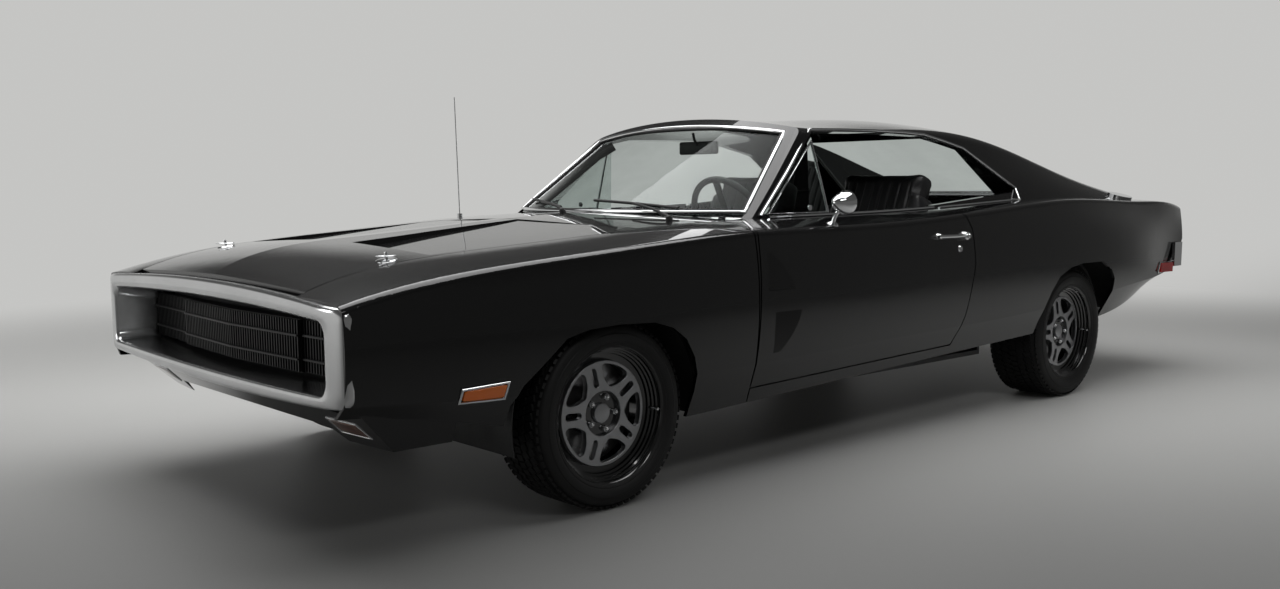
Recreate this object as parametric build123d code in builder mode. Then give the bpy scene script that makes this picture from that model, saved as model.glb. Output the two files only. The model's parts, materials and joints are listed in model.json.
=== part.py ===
from build123d import *
import math
import os
from collections import namedtuple

# A two-door fastback coupe of about 1970, in millimetres.
# X points forward, Y to the car's left, Z up; the origin is on the ground under the middle.

os.makedirs("parts", exist_ok=True)

# Driving dimensions
length = 5283
wheelbase = 2972
front_overhang = 965
nose_x = length / 2
front_axle_x = nose_x - front_overhang
rear_axle_x = front_axle_x - wheelbase
panel = 14          # outer panels, skin and its stiffening
hood_panel = 26     # hood skin on its frame
shut = 6            # shut lines round doors, hood and decklid
frame_wall = 30     # roof and pillars
glass = 5
door_inner_y = 738
door_front_x = 1028
hood_rear_x = 1384
hood_front_x = 2590
fender_front_x = 2618
firewall_x = 1120
rear_seat_x = -1240
bore = 217          # tyre's seat on the rim

# Wheels: radius, width, and distance of the outer side wall from the middle of the car
Wheel = namedtuple("Wheel", "name x radius width outer_y")
front_wheel = Wheel("front", front_axle_x, 308, 245, 898)
rear_wheel = Wheel("rear", rear_axle_x, 318, 275, 900)
kingpin_y = 700
face_depth = 58         # spoke face behind the outer side wall
hub_radius = 80
pocket_radius = 72      # pocket of the five nuts, round the cap
cap_radius = 34
ring_radius = 164       # inner edge of the ring that ties the spokes
spoke_angle = 74
plate_holes = 177.8     # between the two holes that carry a number plate

# Lower body, one row per station from nose to tail. Each half section runs from the sill up
# to the tuck-under, over the widest point to the shoulder crease, and in to the middle.
# The last column says how full the top is: 0.75 is a plain arc, less leaves a centre ridge.
BodyRow = namedtuple("BodyRow", "x y_sill z_sill y_tuck z_tuck y_wide z_wide "
                                "y_crease z_crease y_deck z_deck z_mid fullness")
body_rows = [
    BodyRow(2618, 850, 418, 893, 455, 908, 590, 898, 724, 640, 735, 746, 0.72),
    BodyRow(2440, 855, 400, 903, 445, 918, 600, 903, 764, 640, 792, 824, 0.60),
    BodyRow(2100, 860, 330, 912, 425, 930, 600, 906, 808, 660, 838, 866, 0.56),
    BodyRow(1676, 866, 262, 918, 412, 937, 600, 908, 840, 690, 870, 899, 0.56),
    BodyRow(1100, 872, 262, 917, 408, 934, 605, 908, 876, 735, 908, 936, 0.62),
    BodyRow(300, 872, 292, 915, 425, 931, 620, 908, 886, 765, 922, 945, 0.70),
    BodyRow(-500, 876, 322, 920, 440, 944, 640, 922, 928, 785, 945, 955, 0.75),
    BodyRow(-1295, 880, 352, 936, 480, 968, 680, 920, 968, 770, 972, 980, 0.75),
    BodyRow(-2000, 850, 425, 918, 530, 942, 715, 902, 950, 700, 960, 968, 0.75),
    BodyRow(-2636, 790, 560, 850, 610, 872, 740, 856, 902, 600, 915, 922, 0.75),
]

# Roof and sail panels: half width and height at the belt and at the drip rail, and the crown
RoofRow = namedtuple("RoofRow", "x y_belt z_belt y_rail z_rail z_mid")
roof_rows = [
    RoofRow(1200, 752, 860, 600, 1225, 1270),
    RoofRow(447, 752, 860, 622, 1268, 1322),
    RoofRow(-395, 765, 870, 634, 1282, 1353),
    RoofRow(-803, 775, 880, 632, 1262, 1334),
    RoofRow(-1259, 790, 890, 640, 1180, 1248),
    RoofRow(-1773, 812, 890, 662, 1062, 1124),
    RoofRow(-2300, 830, 890, 690, 962, 984),
]

# Outlines in side view, as (x, z)
front_arch = [(2084, 150), (2084, 396), (2050, 452), (1896, 580), (1812, 600), (1686, 606),
              (1536, 600), (1454, 576), (1392, 534), (1347, 469), (1325, 409), (1321, 346),
              (1343, 150)]
rear_arch = [(-958, 150), (-958, 405), (-974, 480), (-1000, 540), (-1022, 570), (-1054, 608), (-1146, 646), (-1257, 662),
             (-1461, 662), (-1571, 613), (-1622, 568), (-1643, 499), (-1636, 440), (-1626, 390),
             (-1626, 150)]
door_outline = [(door_front_x, 322), (1008, 1000), (-268, 1000), (-290, 912), (-331, 847),
                (-345, 700), (-300, 480), (-243, 357)]
side_window = [(800, 850), (800, 920), (382, 1254), (-40, 1262), (-370, 1254), (-660, 1200),
               (-1004, 1021), (-985, 1004), (-848, 992), (-312, 950), (-312, 850)]
tail_outline = [(1400, 100), (-1400, 100), (-2481, 540), (-2596, 735), (-2552, 930),
                (-2552, 1100), (1400, 1100)]
# Outlines in plan, as (x, y)
hood_outline = [(hood_front_x, 0), (hood_front_x, 636), (2100, 655), (1676, 684),
                (hood_rear_x, 708), (1430, 380), (1446, 0)]
decklid_outline = [(-1900, 0), (-1900, 520), (-2300, 556), (-2700, 575), (-2700, 0)]


def save(builder, name):
    builder.part.label = name
    export_step(builder.part, f"parts/{name}.step")


def save_pair(left, name):
    """Writes the left piece and its mirror image on the right."""
    save(left, name + "_left")
    with BuildPart() as right:
        add(mirror(left.part, about=Plane.XZ))
    save(right, name + "_right")


def save_turned_pair(left, name, x):
    """Writes the left piece and the same piece turned round to the right side."""
    save(left, name + "_left")
    with BuildPart() as right:
        add(left.part.rotate(Axis((x, 0, 0), (0, 0, 1)), 180))
    save(right, name + "_right")


def flip(point):
    return (-point[0], point[1])


def corner_arc(before, corner, after, radius):
    """Start, middle and end of a small arc that rounds a corner between two neighbours."""
    def toward(point):
        reach = radius / math.dist(point, corner)
        return tuple(c + (p - c) * reach for c, p in zip(corner, point))
    start, end = toward(before), toward(after)
    middle = tuple(0.28 * (s + e) + 0.44 * c for s, e, c in zip(start, end, corner))
    return start, middle, end


def lower_body(inset=0, drop=0):
    """The lower body as one solid, its section inset all round and its floor dropped."""
    with BuildPart() as body:
        for row in body_rows:
            lean = (row.y_tuck - row.y_sill) / (row.z_tuck - row.z_sill)
            sill = (row.y_sill - inset - drop * lean, row.z_sill - drop)
            tuck = (row.y_tuck - inset, row.z_tuck)
            wide = (row.y_wide - inset, row.z_wide)
            crease = (row.y_crease - inset, row.z_crease - inset)
            deck = (row.y_deck, row.z_deck - inset)
            shoulder = ((crease[0] + deck[0]) / 2, (crease[1] + deck[1]) / 2 + 5)
            top = (0, row.z_mid - inset)
            crown = (row.y_deck / 2, deck[1] + row.fullness * (row.z_mid - row.z_deck))
            start, middle, end = corner_arc(wide, crease, deck, 22)
            with BuildSketch(Plane.YZ.offset(row.x)):
                with BuildLine():
                    Line(flip(sill), sill)
                    Line(sill, tuck)
                    ThreePointArc(tuck, wide, start)
                    ThreePointArc(start, middle, end)
                    ThreePointArc(end, shoulder, deck)
                    ThreePointArc(deck, crown, top)
                    ThreePointArc(top, flip(crown), flip(deck))
                    ThreePointArc(flip(deck), flip(shoulder), flip(end))
                    ThreePointArc(flip(end), flip(middle), flip(start))
                    ThreePointArc(flip(start), flip(wide), flip(tuck))
                    Line(flip(tuck), flip(sill))
                make_face()
        loft()
    return body.part


def upper_body(inset=0):
    """Roof, pillars and sail panels as one solid, before the windows are cut."""
    with BuildPart() as body:
        for row in roof_rows:
            belt = (row.y_belt - inset, row.z_belt)
            rail = (row.y_rail - inset, row.z_rail - inset)
            side = ((rail[0] + belt[0]) / 2 + 6, (rail[1] + belt[1]) / 2)
            crown = (0, row.z_mid - inset)
            start, middle, end = corner_arc(belt, rail, crown, 36)
            with BuildSketch(Plane.YZ.offset(row.x)):
                with BuildLine():
                    Line(flip(belt), belt)
                    ThreePointArc(belt, side, start)
                    ThreePointArc(start, middle, end)
                    ThreePointArc(end, crown, flip(end))
                    ThreePointArc(flip(end), flip(middle), flip(start))
                    ThreePointArc(flip(start), flip(side), flip(belt))
                make_face()
        loft()
    return body.part


def behind_windscreen(setback=0):
    """Everything behind the windscreen's curved face, which leans back and bows forward."""
    Level = namedtuple("Level", "z x_middle x_corner y_corner x_far")
    with BuildPart() as space:
        for level in (Level(860, 1191, 909, 768, 780), Level(1400, 362, 299, 546, 190)):
            with BuildSketch(Plane.XY.offset(level.z)):
                with BuildLine():
                    corner = (level.x_corner - setback, level.y_corner)
                    other = (level.x_corner - setback, -level.y_corner)
                    ThreePointArc(other, (level.x_middle - setback, 0), corner)
                    Polyline(corner, (level.x_far - setback, 1000), (-2700, 1000),
                             (-2700, -1000), (level.x_far - setback, -1000), other)
                make_face()
        loft(ruled=True)
    return space.part


def side_prism(points, y_from, y_to, grow=0):
    """An outline of the side view as a solid between two distances to the left."""
    with BuildPart() as prism:
        with BuildSketch(Plane.XZ.offset(-y_from)):
            with BuildLine():
                Polyline(*points, close=True)
            make_face()
            if grow:
                offset(amount=grow, kind=Kind.INTERSECTION)
        extrude(amount=y_from - y_to)
    return prism.part


def plan_prism(points, z_from, z_to, grow=0, both=True):
    """An outline of the plan view, with its mirror image if both, between two heights."""
    with BuildPart() as prism:
        with BuildSketch(Plane.XY.offset(z_from)):
            with BuildLine():
                Polyline(*points, close=True)
            make_face()
            if both:
                mirror(about=Plane.XZ)
            if grow:
                offset(amount=grow, kind=Kind.INTERSECTION)
        extrude(amount=z_to - z_from)
    return prism.part


def cuboid(x, y, z, radius=0):
    """A box between pairs of low and high coordinates, its edges rounded if a radius is given."""
    with BuildPart() as block:
        with Locations(((x[0] + x[1]) / 2, (y[0] + y[1]) / 2, (z[0] + z[1]) / 2)):
            Box(x[1] - x[0], y[1] - y[0], z[1] - z[0])
        if radius:
            fillet(block.edges(), radius)
    return block.part


def rod(start, end, radius):
    """A round bar between two points."""
    run = Vector(*end) - Vector(*start)
    with BuildPart() as bar:
        with BuildSketch(Plane(origin=start, z_dir=run)):
            Circle(radius)
        extrude(amount=run.length)
    return bar.part


with BuildPart() as body_block:
    add(lower_body())
    add(side_prism(tail_outline + [(nose_x, 1100), (nose_x, 100)], -1100, 1100),
        mode=Mode.INTERSECT)
body_solid = body_block.part
with BuildPart() as skin:
    add(body_solid)
    add(lower_body(inset=panel, drop=140), mode=Mode.SUBTRACT)
    for arch in (front_arch, rear_arch):
        add(side_prism(arch, -1100, 1100), mode=Mode.SUBTRACT)
roof_solid = upper_body()
windscreen_space = behind_windscreen()

# Body shell: roof, pillars, sails, quarters, sills and cowl, welded together as on the car
with BuildPart() as lower_shell:
    add(skin.part)
    keep = [(-2700, 0), (-2700, 1000), (door_front_x, 1000), (door_front_x, 729),
            (hood_rear_x - shut, 708), (1424, 380), (1440, 0)]
    add(plan_prism(keep, 100, 1200), mode=Mode.INTERSECT)
    # open over the cabin, up to the windscreen's foot, and over the trunk
    with BuildPart(mode=Mode.PRIVATE) as cabin_top:
        add(cuboid((-1290, 1300), (-730, 730), (862, 1100)))
        add(behind_windscreen(setback=-3), mode=Mode.INTERSECT)
    add(cabin_top.part, mode=Mode.SUBTRACT)
    add(plan_prism(decklid_outline, 800, 1100, grow=shut), mode=Mode.SUBTRACT)
with BuildPart() as hollow:
    add(upper_body(inset=frame_wall))
    add(behind_windscreen(setback=45), mode=Mode.INTERSECT)
    cabin_side = [(1300, 800), (1300, 1400), (-770, 1400), (-770, 1322), (-1315, 959),
                  (-1315, 800)]
    add(side_prism(cabin_side, -1000, 1000), mode=Mode.INTERSECT)
rear_window_plane = Plane(origin=(-835, 0, 1312), x_dir=(0, 1, 0), z_dir=(-330, 0, 495))
with BuildPart() as tunnel:
    with BuildSketch(Plane.XY.offset(700)):
        with BuildLine():
            Polyline((-700, 455), (-2600, 590), (-2600, -590), (-700, -455), close=True)
        make_face()
    extrude(amount=900)
    add(side_prism([(-800, 1500), (-835, 1312), (-1330, 982), (-1330, 750), (-2600, 750),
                    (-2600, 1500)], -1000, 1000), mode=Mode.INTERSECT)
with BuildPart() as screen_opening:
    with BuildSketch(Plane.YZ.offset(455)):
        with BuildLine():
            Polyline((-575, 1250), (-700, 935), (-700, 900), (700, 900), (700, 935), (575, 1250))
            ThreePointArc((575, 1250), (0, 1292), (-575, 1250))
        make_face()
    extrude(amount=900)
    add(behind_windscreen(setback=60), mode=Mode.SUBTRACT)
with BuildPart() as body_shell:
    add(roof_solid)
    add(windscreen_space, mode=Mode.INTERSECT)
    add(hollow.part, mode=Mode.SUBTRACT)
    add(tunnel.part, mode=Mode.SUBTRACT)
    add(side_prism(side_window, -1000, 1000), mode=Mode.SUBTRACT)
    add(screen_opening.part, mode=Mode.SUBTRACT)
    # rear window opening in the sloping floor of the tunnel
    with BuildSketch(rear_window_plane.offset(-60)):
        with BuildLine():
            Polyline((-436, 40), (436, 40), (474, 545), (-474, 545), close=True)
        make_face()
    extrude(amount=120, mode=Mode.SUBTRACT)
    add(lower_shell.part)
    for low, high in ((door_inner_y - shut, 1100), (-1100, shut - door_inner_y)):
        add(side_prism(door_outline, low, high, grow=shut), mode=Mode.SUBTRACT)
save(body_shell, "body_shell")

# Doors, cut from the whole body and as thick as the body side
with BuildPart() as door:
    add(body_solid)
    add(side_prism(door_outline, door_inner_y, 1100), mode=Mode.INTERSECT)
    # two stamped recesses behind the front edge, deep at the front and fading rearwards
    for upper_z, lower_z, front_x, rear_x in ((816, 665, 981, 790), (588, 441, 943, 760)):
        with BuildSketch(Plane.XY.offset(lower_z)):
            with BuildLine():
                Polyline((front_x, 917), (front_x, 1000), (rear_x, 1000), (rear_x, 935), close=True)
            make_face()
        extrude(amount=upper_z - lower_z, mode=Mode.SUBTRACT)
save_pair(door, "door")

# Front fenders
with BuildPart() as fender:
    add(skin.part)
    fender_plan = [(fender_front_x, 636 + shut), (fender_front_x, 1000),
                   (door_front_x + shut, 1000), (door_front_x + shut, 735),
                   (hood_rear_x - 10, 708 + shut), (1676, 684 + shut), (2100, 655 + shut)]
    add(plan_prism(fender_plan, 100, 1200, both=False), mode=Mode.INTERSECT)
save_pair(fender, "fender")

# Hood: a centre ridge between two recesses, deepest at their front edge and fading rearwards
recess_outline = [(2180, 150), (2180, 628), (1960, 642), (1480, 560), (1300, 300), (1340, 60),
                  (1836, 100)]
recess_front_inner = Vector(2180, 150, 832)
recess_front_outer = Vector(2180, 628, 817)
recess_rear = Vector(1420, 330, 905)
with BuildPart() as hood:
    add(body_solid)
    add(lower_body(inset=hood_panel, drop=140), mode=Mode.SUBTRACT)
    add(plan_prism(hood_outline, 640, 1200), mode=Mode.INTERSECT)
    with BuildPart(mode=Mode.PRIVATE) as recess:
        up = (recess_front_outer - recess_front_inner).cross(recess_rear - recess_front_inner)
        add(plan_prism(recess_outline, 700, 1000, both=False))
        split(bisect_by=Plane(origin=recess_rear, z_dir=up * (1 if up.Z > 0 else -1)), keep=Keep.TOP)
    add(recess.part, mode=Mode.SUBTRACT)
    add(mirror(recess.part, about=Plane.XZ), mode=Mode.SUBTRACT)
save(hood, "hood")

# Decklid
with BuildPart() as decklid:
    add(skin.part)
    lid = [(-1900, 0), (-1900, 520), (-2300, 556), (-2548, 570), (-2548, 0)]
    add(plan_prism(lid, 800, 1200), mode=Mode.INTERSECT)
save(decklid, "decklid")

# Bright loop round the grille: outer outline and opening in front view, as (y, z)
LoopRow = namedtuple("LoopRow", "x half_width corner z_top_mid z_top_end z_low_end z_low_mid")


def loop_profile(row):
    """A wide frame outline with arched top and bottom and rounded corners."""
    top = (row.half_width - row.corner, row.z_top_end)
    upper = (row.half_width, row.z_top_end - row.corner)
    lower = (row.half_width, row.z_low_end + row.corner)
    bottom = (row.half_width - row.corner, row.z_low_end)
    bulge = row.corner * (1 - math.sqrt(0.5))
    high = (row.half_width - bulge, row.z_top_end - bulge)
    low = (row.half_width - bulge, row.z_low_end + bulge)
    with BuildSketch(Plane.YZ.offset(row.x)) as profile:
        with BuildLine():
            ThreePointArc(flip(top), (0, row.z_top_mid), top)
            ThreePointArc(top, high, upper)
            Line(upper, lower)
            ThreePointArc(lower, low, bottom)
            ThreePointArc(bottom, (0, row.z_low_mid), flip(bottom))
            ThreePointArc(flip(bottom), flip(low), flip(lower))
            Line(flip(lower), flip(upper))
            ThreePointArc(flip(upper), flip(high), flip(top))
        make_face()
    return profile.sketch


with BuildPart() as front_bumper:
    extrude(loop_profile(LoopRow(2622, 906, 24, 750, 722, 447, 416)), amount=40)
    extrude(loop_profile(LoopRow(2470, 884, 20, 728, 702, 466, 438)), amount=154)
    with BuildSketch(Plane.XY.offset(300)):
        with BuildLine():
            Polyline((2400, -950), (2600, -950), (2621, -906))
            Line((2621, -906), (nose_x, -822))
            ThreePointArc((nose_x, -822), (2626, 0), (nose_x, 822))
            Polyline((nose_x, 822), (2621, 906), (2600, 950), (2400, 950), (2400, -950))
        make_face()
    extrude(amount=600, mode=Mode.INTERSECT)
    with BuildPart(mode=Mode.PRIVATE) as opening:
        rear_edge = loop_profile(LoopRow(2460, 806, 26, 666, 651, 485, 472))
        front_edge = loop_profile(LoopRow(2660, 848, 30, 692, 678, 478, 462))
        loft((rear_edge.face(), front_edge.face()), ruled=True)
    add(opening.part, mode=Mode.SUBTRACT)
save(front_bumper, "front_bumper")

# Grille: a centre section and two lamp doors set back beside it, shallow V in plan, each
# with fine vertical ribs and two slim bars
rib_pitch = 16
rib_depth = 9
door_setback = 14
v_depth = 40
grille_half = 797
centre_half = 438
bar_heights = (528, 600)


def grille_x(y, proud=0):
    """The face of the grille at a distance from the middle."""
    return 2534 - abs(y) * v_depth / 800 - (door_setback if abs(y) > centre_half else 0) + proud


with BuildPart() as grille:
    with BuildSketch(Plane.XY.offset(488)):
        with BuildLine():
            Polyline((2474, -grille_half), (grille_x(grille_half), -grille_half),
                     (grille_x(centre_half + 1), -centre_half), (grille_x(centre_half), -centre_half),
                     (grille_x(0), 0), (grille_x(centre_half), centre_half),
                     (grille_x(centre_half + 1), centre_half), (grille_x(grille_half), grille_half),
                     (2474, grille_half), close=True)
        make_face()
    extrude(amount=160)
    with BuildSketch(Plane.XY.offset(490)):
        for i in range(-49, 50):
            with Locations((grille_x(i * rib_pitch) + rib_depth / 2 - 1, i * rib_pitch)):
                Rectangle(rib_depth, 5)
    extrude(amount=156)
    for z in bar_heights:
        with BuildSketch(Plane.XY.offset(z - 3)):
            with BuildLine():
                Polyline((grille_x(centre_half), -centre_half),
                         (grille_x(centre_half, 14), -centre_half), (grille_x(0, 14), 0),
                         (grille_x(centre_half, 14), centre_half),
                         (grille_x(centre_half), centre_half), (grille_x(0, -4), 0), close=True)
            make_face()
            for side in (1, -1):
                with BuildLine():
                    Polyline((grille_x(grille_half, -2), side * grille_half),
                             (grille_x(grille_half, 14), side * grille_half),
                             (grille_x(centre_half + 1, 14), side * (centre_half + 8)),
                             (grille_x(centre_half + 1, -2), side * (centre_half + 8)), close=True)
                make_face()
        extrude(amount=6)
save(grille, "grille")

# Front valance: front and side walls under the loop, leaning back, its lower edge raised
# between two deeper ends that hold the turn lamps
valance_top = 432
valance_low = 294
lamp_centre_y = 690
with BuildPart() as front_valance:
    for inset, top in ((0, valance_top), (10, valance_top + 30)):
        with BuildPart(mode=Mode.PRIVATE) as block:
            for z, x_nose, x_corner, half in ((top, 2592, 2566, 868),
                                              (valance_low - inset, 2470, 2424, 806)):
                with BuildSketch(Plane.XY.offset(z)):
                    with BuildLine():
                        Polyline((2230 - 2 * inset, -half + inset), (x_corner - inset, -half + inset))
                        ThreePointArc((x_corner - inset, -half + inset), (x_nose - inset, 0),
                                      (x_corner - inset, half - inset))
                        Polyline((x_corner - inset, half - inset), (2230 - 2 * inset, half - inset),
                                 (2230 - 2 * inset, -half + inset))
                    make_face()
            loft(ruled=True)
        add(block.part, mode=Mode.SUBTRACT if inset else Mode.ADD)
    with BuildSketch(Plane.YZ.offset(2300)):
        with BuildLine():
            ThreePointArc((-560, 340), (0, 352), (560, 340))
            Polyline((560, 340), (600, 280), (-600, 280), (-560, 340))
        make_face()
    extrude(amount=400, mode=Mode.SUBTRACT)
    add(body_solid, mode=Mode.SUBTRACT)
    add(front_bumper.part, mode=Mode.SUBTRACT)
    with BuildSketch(Plane.YZ.offset(2380)):
        with Locations((lamp_centre_y, 356), (-lamp_centre_y, 356)):
            Rectangle(150, 46)
    extrude(amount=300, mode=Mode.SUBTRACT)
save(front_valance, "front_valance")

# Front lamps: turn lamps in the valance and amber marker lamps on the fenders
with BuildPart() as front_lamps:
    with BuildSketch(Plane.YZ.offset(2380)):
        with Locations((lamp_centre_y, 356), (-lamp_centre_y, 356)):
            Rectangle(148, 44)
    extrude(amount=300)
    lean = [(2440, 300), (2504, 300), (2572, 420), (2540, 420)]
    add(side_prism(lean, -900, 900), mode=Mode.INTERSECT)
    for side in (1, -1):
        marker = [(2107, 418), (2276, 416), (2270, 470), (2101, 472)]
        add(side_prism(marker, *sorted((side * 900, side * 932))))
    add(body_solid, mode=Mode.SUBTRACT)
save(front_lamps, "front_lamps")

# Tail: a recessed panel between the quarters, two wide lamps, side markers and the bumper
with BuildPart() as tail_panel:
    add(lower_body(inset=panel + 1))
    add(side_prism([(-2540, 880), (-2582, 735), (-2478, 560), (-2458, 560), (-2562, 735),
                    (-2520, 880)], -1000, 1000), mode=Mode.INTERSECT)
save(tail_panel, "tail_panel")
tail_plane = Plane(origin=(-2561, 0, 808), x_dir=(0, -1, 0), z_dir=(-145, 0, 42))
with BuildPart() as tail_lamps:
    for side in (1, -1):
        marker = [(-2267, 563), (-2415, 561), (-2417, 611), (-2269, 613)]
        add(side_prism(marker, *sorted((side * 860, side * 905))))
    add(body_solid, mode=Mode.SUBTRACT)
    with BuildSketch(tail_plane):
        with Locations((405, 0), (-405, 0)):
            RectangleRounded(720, 84, 20)
    extrude(amount=12)
save(tail_lamps, "tail_lamps")
with BuildPart() as rear_bumper:
    with BuildSketch(Plane.XY.offset(588)):
        with BuildLine():
            Polyline((-2440, -886), (-2440, -902), (-2540, -898), (-2622, -850))
            ThreePointArc((-2622, -850), (-nose_x, 0), (-2622, 850))
            Polyline((-2622, 850), (-2540, 898), (-2440, 902), (-2440, 886), (-2530, 882),
                     (-2592, 838))
            ThreePointArc((-2592, 838), (-2612, 0), (-2592, -838))
            Polyline((-2592, -838), (-2530, -882), (-2440, -886))
        make_face()
    extrude(amount=132)
    add(body_solid, mode=Mode.SUBTRACT)
    with BuildSketch(Plane.YZ.offset(-nose_x - 10)):
        with Locations((plate_holes / 2, 654), (-plate_holes / 2, 654)):
            Circle(3.5)
    extrude(amount=60, mode=Mode.SUBTRACT)
save(rear_bumper, "rear_bumper")

# Glass
with BuildPart() as windshield:
    with BuildSketch(Plane.YZ.offset(300)):
        with BuildLine():
            Polyline((-572, 1247), (-697, 935), (-697, 925), (697, 925), (697, 935), (572, 1247))
            ThreePointArc((572, 1247), (0, 1289), (-572, 1247))
        make_face()
    extrude(amount=1000)
    add(behind_windscreen(setback=12), mode=Mode.INTERSECT)
    add(behind_windscreen(setback=12 + glass * 2), mode=Mode.SUBTRACT)
save(windshield, "windshield")
with BuildPart() as rear_window:
    with BuildSketch(rear_window_plane.offset(-14)):
        with BuildLine():
            Polyline((-433, 43), (433, 43), (471, 542), (-471, 542), close=True)
        make_face()
    extrude(amount=glass)
save(rear_window, "rear_window")

# Floor, firewall, seat step, trunk floor and rear wheel housings
with BuildPart() as floor_pan:
    add(cuboid((-640, firewall_x), (-780, 780), (262, 282)))
    add(cuboid((-1000, firewall_x), (-140, 140), (262, 500)))
    add(cuboid((-1040, firewall_x), (-124, 124), (200, 484)), mode=Mode.SUBTRACT)
    add(cuboid((-660, -640), (-780, 780), (262, 420)))
    add(cuboid((-1000, -640), (-550, 550), (400, 420)))
    add(cuboid((-1040, -600), (-124, 124), (200, 484)), mode=Mode.SUBTRACT)
    add(cuboid((-1020, -1000), (-550, 550), (400, 490)))
    add(cuboid((-2480, -1000), (-550, 550), (470, 490)))
    add(cuboid((firewall_x, firewall_x + 18), (-700, 700), (262, 856)))
    add(cuboid((firewall_x - 40, firewall_x + 60), (-124, 124), (200, 484)), mode=Mode.SUBTRACT)
    for side in (1, -1):
        for y, depth, inner in ((560, 290, 360), (550, 12, 0)):
            with BuildSketch(Plane.XZ.offset(-side * y)):
                with Locations((rear_axle_x, 318)):
                    Circle(372)
                    if inner:
                        Circle(inner, mode=Mode.SUBTRACT)
                with Locations((rear_axle_x, 405)):
                    Rectangle(800, 500, align=(Align.CENTER, Align.MAX), mode=Mode.SUBTRACT)
            extrude(amount=-side * depth)
save(floor_pan, "floor_pan")

# Front structure: rails, wheel housings, radiator support
with BuildPart() as front_structure:
    add(cuboid((2436, 2456), (-700, 700), (352, 720)))
    for side in (1, -1):
        add(cuboid((firewall_x + 18, 2450), sorted((side * 400, side * 470)), (330, 420)))
        add(cuboid((firewall_x + 18, 2450), sorted((side * 462, side * 474)), (420, 760)))
        with BuildSketch(Plane.XZ.offset(-side * 470)):
            with Locations((front_axle_x, 308)):
                Circle(412)
                Circle(400, mode=Mode.SUBTRACT)
            with Locations((front_axle_x, 425)):
                Rectangle(900, 560, align=(Align.CENTER, Align.MAX), mode=Mode.SUBTRACT)
        extrude(amount=-side * 414)
save(front_structure, "front_structure")

# Engine and gearbox, closed masses
with BuildPart() as engine:
    add(cuboid((1260, 1900), (-290, 290), (300, 790)))
    add(rod((1262, 0, 370), (700, 0, 360), 105))
save(engine, "engine")
with BuildPart() as driveshaft:
    add(rod((694, 0, 340), (-1150, 0, 330), 38))
save(driveshaft, "driveshaft")

# Exhaust pipes, a silencer on each
with BuildPart() as exhaust:
    for side in (1, -1):
        with BuildPart(mode=Mode.PRIVATE) as pipe:
            with BuildLine() as route:
                FilletPolyline((1150, side * 240, 215), (-850, side * 240, 215),
                               (-1100, side * 340, 428), (-1500, side * 400, 428),
                               (-1800, side * 455, 330), (-2470, side * 455, 330), radius=90)
            with BuildSketch(Plane(origin=(1150, side * 240, 215), z_dir=(-1, 0, 0))):
                Circle(28)
            sweep(path=route.line)
        add(pipe.part)
        add(cuboid((-560, 0), sorted((side * 160, side * 330)), (170, 256)))
save(exhaust, "exhaust")
with BuildPart() as fuel_tank:
    add(cuboid((-2280, -1720), (-410, 410), (310, 466)))
save(fuel_tank, "fuel_tank")

# Rear axle with its differential, and leaf springs
with BuildPart() as rear_axle:
    add(rod((rear_axle_x, -758, 318), (rear_axle_x, 758, 318), 38))
    with Locations((rear_axle_x, 0, 318)):
        Sphere(135)
save(rear_axle, "rear_axle")
with BuildPart() as leaf_springs:
    for side in (1, -1):
        with BuildSketch(Plane.XZ.offset(-side * 500)):
            with BuildLine():
                ThreePointArc((-700, 330), (rear_axle_x, 262), (-1960, 400))
                Line((-1960, 400), (-1960, 416))
                ThreePointArc((-1960, 416), (rear_axle_x, 278), (-700, 346))
                Line((-700, 346), (-700, 330))
            make_face()
        extrude(amount=-side * 60)
save(leaf_springs, "leaf_springs")

# Front suspension: cross member, lower and upper arms, torsion bars
with BuildPart() as front_suspension:
    add(cuboid((1600, 1750), (-396, 396), (200, 296)))
    for side in (1, -1):
        add(rod((1676, side * 396, 240), (1676, side * 690, 232), 18))
        add(rod((1900, side * 390, 300), (1700, side * 660, 235), 10))
        add(rod((1676, side * 476, 470), (1676, side * 650, 478), 14))
        add(rod((1600, side * 350, 240), (640, side * 350, 245), 13))
save(front_suspension, "front_suspension")


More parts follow.
